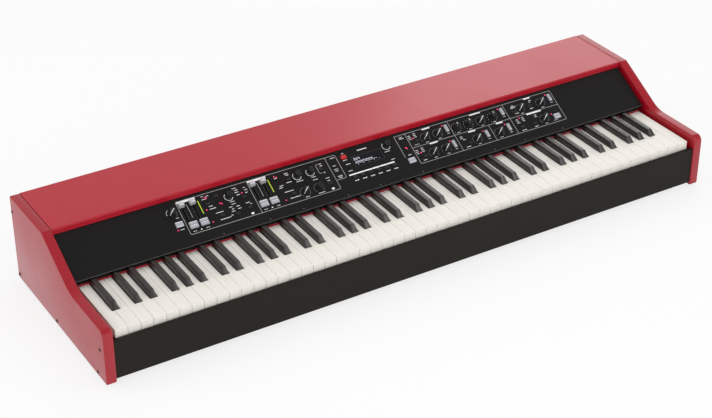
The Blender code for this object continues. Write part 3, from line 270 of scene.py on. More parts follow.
# Near black, darker than any of the black parts: painted shade for the depth of the fader slots and of the knobs'
# engraved pointer grooves.
SLOT_SHADE_BLACK = Finish("painted_slot_shade", (0.004, 0.004, 0.004), 0.7, shade=0.1, grain_size=0.4)
NICKEL = Finish("nickel", (0.62, 0.61, 0.58), 0.24, Grain.BRUSHED, metallic=1.0, grain_size=0.4, depth=0.003)


@dataclass
class Shape:
    """Points in millimetres, and the faces that join them."""

    points: np.ndarray
    faces: list[tuple[int, ...]]

    def at(self, x: float, y: float, z: float = 0.0, turn: float = 0.0) -> "Shape":
        """Turn the shape about its third axis, then move it.

        Args:
            x: How far it moves along the first axis.
            y: How far it moves along the second axis.
            z: How far it moves along the third axis.
            turn: The angle in radians, counter-clockwise seen from above.

        Returns:
            A new shape with the same faces.
        """
        cosine, sine = math.cos(turn), math.sin(turn)
        matrix = np.array(((cosine, sine, 0.0), (-sine, cosine, 0.0), (0.0, 0.0, 1.0)))
        return Shape(self.points @ matrix + (x, y, z), self.faces)

    def ordered(self, *order: int) -> "Shape":
        """Return the shape with its axes put in another order."""
        return Shape(self.points[:, list(order)], self.faces)

    def repeated(self, places: Iterable[Place]) -> "Shape":
        """Return one shape that holds a copy at each place."""
        return Shape.joined(self.at(*place) for place in places)

    @staticmethod
    def joined(shapes: Iterable["Shape"]) -> "Shape":
        """Put shapes together, each a closed body of its own.

        Args:
            shapes: The shapes.

        Returns:
            One shape that holds them all.
        """
        shapes = list(shapes)
        starts = np.cumsum([0] + [len(shape.points) for shape in shapes[:-1]]).tolist()
        faces = [tuple(index + start for index in face)
                 for start, shape in zip(starts, shapes) for face in shape.faces]
        return Shape(np.concatenate([shape.points for shape in shapes]), faces)


def loft(rings: np.ndarray, is_hoop: bool = False) -> Shape:
    """Join rings of points into a closed skin.

    The point at ring i and step j is joined to those at i + 1 and j + 1, and j runs round. The first and last ring
    are closed with a face, or joined to each other for a hoop.

    Args:
        rings: An array of rings, points and coordinates.
        is_hoop: Whether the last ring goes on into the first.

    Returns:
        The closed shape.
    """
    levels, count = rings.shape[:2]
    index = np.arange(levels * count).reshape(levels, count)
    upper = np.roll(index, -1, axis=0) if is_hoop else index[1:]
    lower = index if is_hoop else index[:-1]
    sides = np.stack((lower, np.roll(lower, -1, axis=1), np.roll(upper, -1, axis=1), upper), axis=-1)
    faces = [tuple(face) for face in sides.reshape(-1, 4).tolist()]
    if not is_hoop:
        faces += [tuple(index[0][::-1].tolist()), tuple(index[-1].tolist())]
    return Shape(rings.reshape(-1, 3), faces)


def stacked(rings: Iterable[np.ndarray], heights: Iterable[float], is_hoop: bool = False) -> Shape:
    """Join flat rings of points into a closed skin, each laid at its own height on the third axis."""
    return loft(np.stack([np.insert(ring, 2, height, axis=1) for ring, height in zip(rings, heights)]), is_hoop)


def fillet(corners: Sequence[tuple[float, float, float]], steps: int = 5) -> np.ndarray:
    """Round the corners of an outline.

    Each arc's centre lies on its corner's bisector, at the radius over the sine of half the corner's angle. Its
    points are that centre plus the radius, turned evenly from one side's tangent point to the other's.

    Args:
        corners: Rows of a, b and radius, counter-clockwise.
        steps: The number of chords in each arc.

    Returns:
        The outline's points, one a row.
    """
    table = np.asarray(corners, dtype=float)
    here, radius = table[:, :2], table[:, 2:]
    before, after = unit(np.roll(here, 1, axis=0) - here), unit(np.roll(here, -1, axis=0) - here)
    half = np.arccos(np.clip((before * after).sum(axis=1, keepdims=True), -1.0, 1.0)) / 2
    centre = here + unit(before + after) * radius / np.sin(half)
    start = here + before * radius / np.tan(half) - centre
    end = here + after * radius / np.tan(half) - centre
    first = np.arctan2(start[:, 1], start[:, 0])
    sweep = (np.arctan2(end[:, 1], end[:, 0]) - first + math.pi) % math.tau - math.pi
    angle = first[:, None] + sweep[:, None] * np.linspace(0.0, 1.0, steps + 1)
    arcs = centre[:, None] + radius[:, None] * np.stack((np.cos(angle), np.sin(angle)), axis=-1)
    return arcs.reshape(-1, 2)


def rectangle(width: float, height: float, radius: float, steps: int = 4) -> np.ndarray:
    """Return the outline of a rectangle with rounded corners, centred on nought."""
    a, b = width / 2, height / 2
    return fillet(((-a, -b, radius), (a, -b, radius), (a, b, radius), (-a, b, radius)), steps)


def circle(radius: float, count: int, ripple: float = 0.0, waves: int = 0) -> np.ndarray:
    """Draw a circle whose radius swells and shrinks in cosine waves.

    Args:
        radius: Its mean radius.
        count: The number of points.
        ripple: How far the radius swells and shrinks.
        waves: The number of waves round the circle.

    Returns:
        The points, one a row.
    """
    angle = np.linspace(0.0, math.tau, count, endpoint=False)
    reach = radius + ripple * np.cos(waves * angle)
    return np.stack((reach * np.cos(angle), reach * np.sin(angle)), axis=1)


def polygon(flats: int, apothem: float, count: int) -> np.ndarray:
    """Draw a regular polygon, whose radius is the apothem over the cosine of the angle from the nearest flat.

    Args:
        flats: The number of its sides.
        apothem: The distance from its middle to a side.
        count: The number of points.

    Returns:
        The points, one a row.
    """
    step = math.tau / flats
    angle = np.linspace(0.0, math.tau, count, endpoint=False) % step - step / 2
    return circle(apothem, count) / np.cos(angle)[:, None]


def inset(outline: np.ndarray, distance: np.ndarray) -> np.ndarray:
    """Draw an outline inwards once for each distance.

    A point moves along the mean of the normals of its two sides, by the distance over the cosine between that mean
    and one of them.

    Args:
        outline: Points in order, counter-clockwise.
        distance: One distance for each copy.

    Returns:
        The copies, as an array of copies, points and coordinates.
    """
    along = unit(np.roll(outline, -1, axis=0) - outline)
    normal = np.stack((-along[:, 1], along[:, 0]), axis=1)
    mean = unit(normal + np.roll(normal, 1, axis=0))
    mitre = mean / (mean * normal).sum(axis=1, keepdims=True)
    return outline[None] + np.asarray(distance)[:, None, None] * mitre[None]


def slab(outline: np.ndarray, levels: np.ndarray) -> Shape:
    """Stack copies of an outline, each drawn in by its own distance: the levels are rows of inset and height."""
    return stacked(inset(outline, levels[:, 0]), levels[:, 1])


def soft_levels(low: float, high: float, edge_low: float, edge_high: float, steps: int = 4) -> np.ndarray:
    """Return the levels of a slab with rounded edges.

    Round an edge of radius e, the inset is e less e times the cosine of an angle that runs through a quarter turn,
    and the height follows its sine.

    Args:
        low: The height of the lower face.
        high: The height of the upper face.
        edge_low: The radius of the lower edge.
        edge_high: The radius of the upper edge.
        steps: The number of chords in each edge.

    Returns:
        Rows of inset and height.
    """
    angle = np.linspace(0.0, math.pi / 2, steps + 1)
    draw, sink = 1 - np.cos(angle), 1 - np.sin(angle)
    fall = np.stack((edge_low * draw, low + edge_low * sink), axis=1)[::-1]
    return np.concatenate((fall, np.stack((edge_high * draw, high - edge_high * sink), axis=1)))


def turned(profile: Sequence[tuple[float, ...]], count: int = 32, waves: int = 0, is_hoop: bool = False) -> Shape:
    """Turn a profile round the third axis, so that each of its rows becomes a circle.

    Args:
        profile: Rows of radius and height, and of the ripple where the circle has one.
        count: The number of points in each circle.
        waves: The number of waves in each ripple.
        is_hoop: Whether the last circle goes on into the first.

    Returns:
        The closed shape.
    """
    rings = [circle(radius, count, *ripple, waves=waves) for radius, _, *ripple in profile]
    return stacked(rings, [row[1] for row in profile], is_hoop)


def block(low: Sequence[float], high: Sequence[float], edge: float = 0.3) -> Shape:
    """Make a box with rounded edges.

    Args:
        low: Its corner with the least coordinates.
        high: Its corner with the greatest.
        edge: The radius of its edges.

    Returns:
        The box.
    """
    low, high = np.asarray(low, dtype=float), np.asarray(high, dtype=float)
    outline = rectangle(high[0] - low[0], high[1] - low[1], edge * 1.05, 2) + ((low + high) / 2)[:2]
    return slab(outline, soft_levels(low[2], high[2], edge, edge, 2))


def film(outline: np.ndarray, low: float, high: float) -> Shape:
    """Return an outline as a thin film between two heights."""
    return stacked((outline, outline), (low, high))


def hoop(outline: np.ndarray, width: float, low: float, high: float) -> Shape:
    """Return a frame between two heights: an outline and the same outline drawn in by a width."""
    outer, inner = inset(outline, np.array((0.0, width)))
    return stacked((outer, outer, inner, inner), (low, high, high, low), True)


def screw_head(dome: Sequence[Place], socket: float, floor: float, count: int = 24) -> Shape:
    """Return a domed screw head whose rings pass from circles to a six-sided socket that goes down into it.

    Args:
        dome: Rows of radius and height.
        socket: Half the socket's width between two flats.
        floor: The height of the socket's floor.
        count: The number of points in each ring.

    Returns:
        The head.
    """
    rings = [circle(radius, count) for radius, _ in dome] + [polygon(6, socket, count)] * 2
    return stacked(rings, [*(height for _, height in dome), dome[-1][1], floor])


# The body that each of the frame's nodes rides on.
NODE_BODY = {node: body for body, nodes in frame["record"]["behaviour"]["bodies"].items() for node in nodes}


def add_piece(name: str, shape: Shape, to_row: Callable[[np.ndarray], np.ndarray], finish: Finish,
              slot: str | None, body: str = "case", replaces: Sequence[str] = (),
              crease: float = 32.0) -> bpy.types.Object:
    """Put a shape into the scene as a piece of the piano.

    Args:
        name: The piece's name.
        shape: Its points and faces.
        to_row: Turns its points into metres of the row frame.
        finish: Its finish.
        slot: The material slot of the record that it takes its finish from, if it has one.
        body: The body that it rides on.
        replaces: The frame's nodes that it stands for.
        crease: The angle in degrees above which an edge stays sharp.

    Returns:
        The new object.
    """
    mesh = bpy.data.meshes.new(name)
    mesh.from_pydata(to_row(shape.points), [], shape.faces)
    mesh.materials.append(finish.material())
    work = bmesh.new()
    work.from_mesh(mesh)
    bmesh.ops.recalc_face_normals(work, faces=work.faces)
    work.to_mesh(mesh)
    work.free()
    mesh.shade_smooth()
    mesh.set_sharp_from_angle(angle=math.radians(crease))
    piece = bpy.data.objects.new(name, mesh)
    bpy.context.scene.collection.objects.link(piece)
    if replaces:
        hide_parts(*replaces)
    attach(piece, body)
    return piece


def dress(finish: Finish, *nodes: str) -> None:
    """Give nodes of the frame their finish.

    Args:
        finish: The finish.
        nodes: The names of the nodes.
    """
    for node in nodes:
        mesh = frame["nodes"][node].data
        mesh.materials.clear()
        mesh.materials.append(finish.material())


@dataclass
class Case:
    """The cheeks, the sheet metal, the front rail, the feet and the felt.

    The screws' dome and the feet's profile are rows of radius and height.
    """

    inner_half: float = 621.7
    thickness: float = 18.8
    depth: float = 388.6
    height: float = 171.352
    flat: float = 107.5
    cover_front: float = 241.472
    slope_foot: float = 131.763
    nose: float = 13.0
    hollow: float = 70.0
    brow: float = 8.0
    corner: float = 4.0
    edge: float = 2.2
    screw_dome: tuple[Place, ...] = ((3.6, -1.0), (3.6, 0.15), (3.1, 0.55), (2.4, 0.75))
    screw_socket: float = 1.55
    screw_floor: float = -0.8
    screw_places: tuple[Place, ...] = ((383.0, 140.0), (383.0, 7.5), (211.0, 6.5), (18.0, 63.0), (36.0, 6.6))
    foot_profile: tuple[Place, ...] = ((3.4, 2.5), (3.6, 0.4), (5.0, 0.0), (10.4, 0.0), (11.3, 0.4), (11.8, 1.2),
                                       (13.0, 6.4), (13.0, 7.6), (3.0, 7.6))
    foot_bottom: float = -5.0
    felt_top: float = 98.6
    felt_edge: float = 0.7

    def build(self) -> None:
        """Build and dress every piece of the case."""
        self._cheeks()
        self._feet()
        self._felt()
        dress(SHEET_PAINT, "top_cover", "rear_panel")
        dress(RAIL_BLACK, "bottom_pan", "front_rail")
        dress(ZINC, "key_frame")
        dress(BOARD, "main_board")
        dress(SOCKET_BLACK, "connector_plate", "power_inlet", "power_switch")
        dress(PANEL_BLACK, "control_panel")
        LOG.info("case: cheeks, screws, feet, felt and the finishes of the sheets, the rail and the rear")

    def _cheeks(self) -> None:
        """Build both cheeks and their screws: a side view with rounded corners, carried through the thickness."""
        outline = fillet(((0.0, 0.0, self.corner), (self.depth, 0.0, self.corner),
                          (self.depth, self.height, self.corner), (self.cover_front, self.height, self.brow),
                          (self.slope_foot, self.flat, self.hollow), (0.0, self.flat, self.nose)), 12)
        outer = self.inner_half + self.thickness
        for name, side in (("left", -1.0), ("right", 1.0)):
            low, high = sorted((side * self.inner_half, side * outer))
            cheek = slab(outline, soft_levels(low, high, self.edge, self.edge)).ordered(2, 0, 1)
            add_piece(f"{name}_cheek_block", cheek, AXES.case, LACQUER, "red_lacquer", replaces=(f"{name}_cheek",))
            heads = screw_head(self.screw_dome, self.screw_socket, self.screw_floor).repeated(self.screw_places)
            heads.points[:, 2] = side * (heads.points[:, 2] + outer)
            add_piece(f"{name}_cheek_screws", heads.ordered(2, 0, 1), AXES.case, SCREW_BLACK, "knob_black")

    def _feet(self) -> None:
        """Build the rubber feet: a turned cup with a rounded rim and a hollow for its screw."""
        for node in ("foot_front_left", "foot_front_right", "foot_rear_left", "foot_rear_right"):
            low, high = map(np.asarray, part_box(node))
            x, y, _ = AXES.from_row((low + high) / 2)
            foot = turned(self.foot_profile, 40).at(x, y, self.foot_bottom)
            add_piece(node + "_cup", foot, AXES.case, RUBBER, "foot_rubber", replaces=(node,))

    def _felt(self) -> None:
        """Build the felt strip, which shows a few millimetres above the naturals and has a soft upper edge."""
        low, high = map(AXES.from_row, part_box("felt_strip"))
        strip = block(low, (high[0], high[1], self.felt_top), self.felt_edge)
        add_piece("felt_band", strip, AXES.case, FELT, "red_felt", replaces=("felt_strip",))


@dataclass(frozen=True)
class Key:
    """One key: its kind and the spans of its head and of its tail."""

    letter: str
    number: int
    head: tuple[float, float]
    slot: tuple[float, float]

    @property
    def is_sharp(self) -> bool:
        """Tell whether it is one of the dark keys."""
        return self.letter.islower()

    @property
    def node(self) -> str:
        """Return the name of the frame's node that the key would have by itself."""
        return "key_" + self.letter.lower() + ("_sharp" if self.is_sharp else "")


@dataclass
class Keyboard:
    """The 88 keys: one octave hinged, the others fixed to the rails that they rock on."""

    pitch: float = 23.6
    space: float = 0.5
    front: float = 12.1
    head_length: float = 52.0
    cap_end: float = 160.5
    top: float = 96.8
    bottom: float = 79.5
    natural_edge: float = 0.9
    side_edge: float = 0.4
    front_radius: float = 1.0
    tail_radius: float = 0.8
    front_band: float = 1.6
    sharp_width: float = 12.6
    crown: float = 9.2
    rise: float = 10.5
    nose: float = 10.5
    nose_space: float = 1.1
    nose_radius: float = 1.3
    rear_radius: float = 0.9
    sharp_edge: float = 0.5
    sharp_space: float = 1.5
    natural_pivot: float = 235.0
    sharp_pivot: float = 247.0
    sharp_lift: float = 1.2
    lever_end: float = 10.0
    lever_foot: float = 1.3
    lever_top: float = 9.0
    ridge_rise: float = 1.0
    block_half: float = 613.6
    first_hinged: int = 40
    hinged: int = 12
    keys: int = 88

    def build(self) -> None:
        """Build every key and the two rails."""
        fixed: dict[bool, list[Shape]] = {False: [], True: []}
        for key in self._layout():
            shape = self._sharp(key) if key.is_sharp else self._natural(key)
            if self.first_hinged <= key.number < self.first_hinged + self.hinged:
                self._add(key.node + "_cap", shape, key.is_sharp, key.node)
            else:
                fixed[key.is_sharp].append(shape)
        ridge = self.bottom + self.ridge_rise
        fixed[False].append(self._rail(self.natural_pivot, ridge, -1.0))
        fixed[True].append(self._rail(self.sharp_pivot, ridge + self.sharp_lift, 1.0))
        for is_sharp, name in ((False, "natural_key"), (True, "sharp_key")):
            self._add(name + "_row", Shape.joined(fixed[is_sharp]), is_sharp, name + "s")
        LOG.info("keyboard: %d keys, %d of them hinged", self.keys, self.hinged)

    def _add(self, name: str, shape: Shape, is_sharp: bool, node: str) -> None:
        """Add a key or a row of keys in place of its node."""
        finish, slot = (KEY_BLACK, "sharp_black") if is_sharp else (KEY_WHITE, "natural_white")
        add_piece(name, shape, AXES.case, finish, slot, NODE_BODY[node], (node,))

    def _layout(self) -> list[Key]:
        """Return the keys from the lowest A upwards.

        An octave has a group of three naturals with two sharps and one of four with three. Behind the heads, the
        keys of a group share its width in equal slots.

        Returns:
            The keys, in order.
        """
        found = []
        for octave in range(9):
            for first, letters, below in ((0, "CcDdE", 0), (3, "FfGgAaB", 5)):
                slot = (len(letters) + 1) // 2 * self.pitch / len(letters)
                left = -self.block_half + (7 * octave - 5 + first) * self.pitch
                for index, letter in enumerate(letters):
                    head = left + index // 2 * self.pitch
                    found.append(Key(letter, 12 * octave - 8 + below + index, (head, head + self.pitch),
                                     (left + index * slot, left + (index + 1) * slot)))
        return [key for key in found if 1 <= key.number <= self.keys]

    def _natural(self, key: Key) -> Shape:
        """Return a natural with its lever.

        Its top view has a notch beside each neighbouring sharp. Copies of that outline are stacked, and drawn in
        at the lower and upper edges. Along the upper edge the front is rounded more than the sides.

        Args:
            key: The key.

        Returns:
            The cap and the lever.
        """
        left, right = key.head[0] + self.space / 2, key.head[1] - self.space / 2
        notch = (self.sharp_width - (key.slot[1] - key.slot[0])) / 2 + self.sharp_space
        cut_left = key.letter not in "CF" and key.number > 1
        cut_right = key.letter not in "EB" and key.number < self.keys
        tail_left = key.slot[0] + notch if cut_left else left
        tail_right = key.slot[1] - notch if cut_right else right
        head_end, soft = self.front + self.head_length, self.tail_radius
        corners = [(left, self.front, self.front_radius), (right, self.front, self.front_radius)]
        if cut_right:
            corners += [(right, head_end, soft), (tail_right, head_end, soft)]
        corners += [(tail_right, self.cap_end, soft), (tail_left, self.cap_end, soft)]
        if cut_left:
            corners += [(tail_left, head_end, soft), (left, head_end, soft)]
        cap = slab(fillet(corners, 3), soft_levels(self.bottom, self.top, 0.3, self.side_edge, 3))
        is_front = cap.points[:, 1] < self.front + self.front_band
        fall = np.clip((cap.points[:, 2] - self.top + self.side_edge) / self.side_edge, 0.0, 1.0)
        cap.points[:, 1] += is_front * fall ** 2 * (self.natural_edge - self.side_edge)
        return Shape.joined((cap, self._lever(tail_left, tail_right, self.cap_end, self.natural_pivot, 0.0)))

    def _lever(self, left: float, right: float, start: float, pivot: float, lift: float) -> Shape:
        """Return the bar behind a key's cap, a millimetre narrower than it on each side."""
        return block((left + 1.0, start - 1.0, self.bottom + self.lever_foot + lift),
                     (right - 1.0, pivot + self.lever_end, self.bottom + self.lever_top + lift))

    def _sharp(self, key: Key) -> Shape:
        """Return a sharp with its lever.

        Each ring is a rounded rectangle with the width and the front that belong to its height. Both stay the same
        up to the naturals' top. Above it the width narrows to the crown and the front leans back by the nose, and
        the last edge is rounded as a quarter of a circle.

        Args:
            key: The key.

        Returns:
            The cap and the lever.
        """
        centre, middle = sum(key.slot) / 2, self.sharp_width / 2
        front, rear = self.front + self.head_length + self.nose_space, self.cap_end - self.space / 2
        angle = np.linspace(0.0, math.pi / 2, 5)
        height = np.concatenate(((self.bottom + 0.3, self.bottom + 0.8, self.top - 0.6, self.top),
                                 self.top + self.rise - self.sharp_edge * (1 - np.sin(angle))))
        draw = np.concatenate(((0.4, 0.0, 0.0, 0.0), self.sharp_edge * (1 - np.cos(angle))))
        lean = np.clip((height - self.top) / self.rise, 0.0, 1.0)
        half = middle - (self.sharp_width - self.crown) / 2 * lean - draw
        nearest, farthest = front + self.nose * lean + draw, rear - draw * (height > self.top)
        rings = [fillet(((centre - reach, near, self.nose_radius), (centre + reach, near, self.nose_radius),
                         (centre + reach, far, self.rear_radius), (centre - reach, far, self.rear_radius)), 3)
                 for reach, near, far in zip(half, nearest, farthest)]
        lever = self._lever(centre - middle, centre + middle, rear, self.sharp_pivot, self.sharp_lift)
        return Shape.joined((stacked(rings, height), lever))

    def _rail(self, pivot: float, ridge: float, side: float) -> Shape:
        """Return the rail that the levers rock on: its side view, carried along the keyboard.

        Args:
            pivot: How far back its round ridge stands.
            ridge: The height of the ridge's top.
            side: Which way its foot points: 1 to the rear, -1 to the front.

        Returns:
            The rail.
        """
        floor, half, foot, sheet = 6.6, 1.5, 15.0, 1.5
        angle = np.linspace(0.0, math.pi, 9)
        arc = np.stack((pivot - side * half * np.cos(angle), ridge - half + half * np.sin(angle)), axis=1)
        lower = np.array(((pivot + side * half, floor + sheet), (pivot + side * (half + foot), floor + sheet),
                          (pivot + side * (half + foot), floor), (pivot - side * half, floor)))
        return stacked([np.concatenate((arc, lower))] * 2, (-self.block_half, self.block_half)).ordered(2, 0, 1)


class Ink(Enum):
    """What a printed mark is printed with."""

    WHITE = "white"
    GREY = "grey"


INK_FINISH = {Ink.WHITE: WHITE_PRINT, Ink.GREY: GREY_PRINT}

# Places on the panel: how far right of its middle, and how far up its slope.
UPPER_ROW, LOWER_ROW = 72.5, 36.4
LEVEL_KNOB = (-405.0, UPPER_ROW)
DIAL = (47.0, 79.0)
SOUND_KNOBS = ((-291.6, UPPER_ROW), (-150.0, UPPER_ROW), (-122.0, UPPER_ROW), (-150.0, LOWER_ROW),
               (-121.0, LOWER_ROW))
EFFECT_KNOBS = tuple((x, UPPER_ROW) for x in (132.0, 160.8, 204.0, 232.3, 260.6, 289.0, 356.0, 405.7)) + tuple(
    (x, LOWER_ROW) for x in (132.0, 160.8, 233.4, 285.0, 393.4))
TONE_KNOBS = (3, 4, 6)
FADERS = (-383.0, -361.0, -240.0, -218.0)
FADER_REST, FADER_TRAVEL = 81.0, 30.0
DUAL_CAPS = tuple((x, 38.6) for x in (-377.0, -356.0, -235.0, -214.0))
SLIM_CAPS = ((183.6, 78.0), (314.8, 78.0), (430.6, 78.0), (181.8, 41.5), (258.9, 41.5), (310.7, 41.5))
SOFT_PADS = tuple((-43.0 + 17.2 * step, 36.6) for step in range(6))
SMALL_PADS = ((-334.0, 70.4), (-313.0, 81.0), (-264.0, 63.6), (-262.8, 40.0), (-289.6, 34.8), (-318.0, 40.8),
              (-168.0, 71.5), (-172.0, 40.8), (-95.5, 38.8), (-100.0, 72.5), (113.5, 71.0), (113.5, 35.0),
              (216.0, 33.3), (339.5, 70.0), (380.0, 73.3), (339.5, 33.3), (369.3, 33.3))
DISPLAY = (0.5, 67.0)
DISPLAY_SIZE = (64.0, 20.5)

# The print: frames and lines by their ends, title bars by middle, width and height, and rows of small marks by
# their width and their middles. A column is three such rows, given by the uppermost.
PANEL_FRAMES = (((-389.6, 22.0), (-81.5, 92.0)), ((95.8, 22.0), (440.0, 92.4)))
PANEL_LINES = (
    ((-246.5, 22.0), (-246.5, 92.0)), ((-81.5, 92.0), (-61.5, 92.0)), ((-59.6, 90.0), (-59.6, 42.6)),
    ((-61.5, 40.6), (-81.5, 40.6)), ((-61.5, 92.0), (-59.6, 90.0)), ((-59.6, 42.6), (-61.5, 40.6)),
    ((72.0, 92.4), (72.0, 44.0)), ((72.0, 92.4), (95.8, 92.4)), ((95.8, 58.6), (440.0, 58.6)),
    ((192.8, 22.0), (192.8, 92.4)), ((271.8, 22.0), (271.8, 58.6)), ((323.5, 22.0), (323.5, 92.4)),
    ((-100.5, 83.5), (-104.0, 83.5)), ((-105.5, 82.0), (-105.5, 65.5)), ((-104.0, 64.0), (-100.5, 64.0)),
    ((-104.0, 83.5), (-105.5, 82.0)), ((-105.5, 65.5), (-104.0, 64.0)))
TITLES = (
    (143.1, 90.6, 18.0, 3.2), (143.1, 56.8, 18.0, 3.2), (257.5, 90.8, 25.5, 3.2), (231.5, 56.6, 16.5, 3.2),
    (296.3, 56.6, 15.5, 3.2), (382.2, 90.8, 16.0, 3.2), (379.5, 56.4, 35.0, 3.2), (-370.5, 89.4, 37.0, 4.2),
    (-227.0, 89.4, 38.0, 4.2), (-2.4, 87.6, 20.8, 1.7))
WORDS = {
    4.0: ((-258.0, 46.4), (384.0, 80.8)),
    4.5: ((-301.0, 35.3), (-255.9, 70.9), (-294.5, 46.7)),
    5.0: ((-338.5, 88.0), (-255.8, 81.6), (-95.8, 63.7), (-43.6, 90.2), (343.0, 84.0)),
    5.5: ((-329.0, 86.6), (-191.0, 80.6), (-167.0, 80.6), (-95.8, 83.1), (-95.4, 78.6), (203.0, 51.4), (203.0, 47.6),
          (207.0, 43.8), (336.0, 51.4), (336.0, 47.6)),
    6.0: ((-254.3, 76.5), (-399.0, 61.4), (-96.2, 45.2), (379.0, 50.0), (379.0, 46.2), (386.0, 84.2)),
    6.5: ((-272.8, 70.9), (-295.5, 42.0), (-282.8, 49.6), (-70.8, 70.6), (336.0, 43.8)),
    7.0: ((-273.0, 81.2), (-297.1, 51.5), (-282.2, 44.3), (-71.2, 59.0), (-70.2, 44.2), (84.0, 87.6), (83.4, 47.0)),
    7.5: ((-275.0, 85.6), (-273.4, 76.5), (-288.9, 56.1), (-263.1, 50.4), (-190.0, 58.8), (-95.5, 50.9)),
    8.0: ((-400.0, 37.0), (-168.0, 84.2), (108.3, 27.2), (369.0, 26.0), (381.0, 66.6)),
    8.5: ((-337.5, 81.6), (-330.8, 64.9), (-187.0, 62.6), (46.9, 48.8)),
    9.0: ((-150.0, 26.4), (-67.3, 87.2), (-71.2, 62.8), (-45.3, 75.4), (-43.1, 65.7), (-45.6, 51.0), (208.0, 26.8),
          (341.5, 78.8)),
    9.5: ((-289.4, 61.2), (-120.0, 61.2), (345.0, 65.2)),
    10.0: ((-70.2, 47.4), (84.5, 84.4), (340.0, 26.0)),
    10.5: ((-119.4, 55.0),),
    11.0: ((-169.5, 65.4),),
    12.0: ((43.8, 67.6), (343.5, 81.4)),
    13.0: ((-329.5, 59.2),),
    13.5: ((-149.0, 61.2),),
    14.0: ((-120.1, 26.0),),
    15.0: ((-321.0, 48.0),),
    18.0: ((-178.5, 47.8),),
    22.0: ((-315.0, 33.0), (-172.0, 32.8)),
}
WORD_COLUMNS = ((101.5, 85.0), (114.0, 87.4), (101.0, 51.6), (114.0, 53.4), (349.5, 53.4))


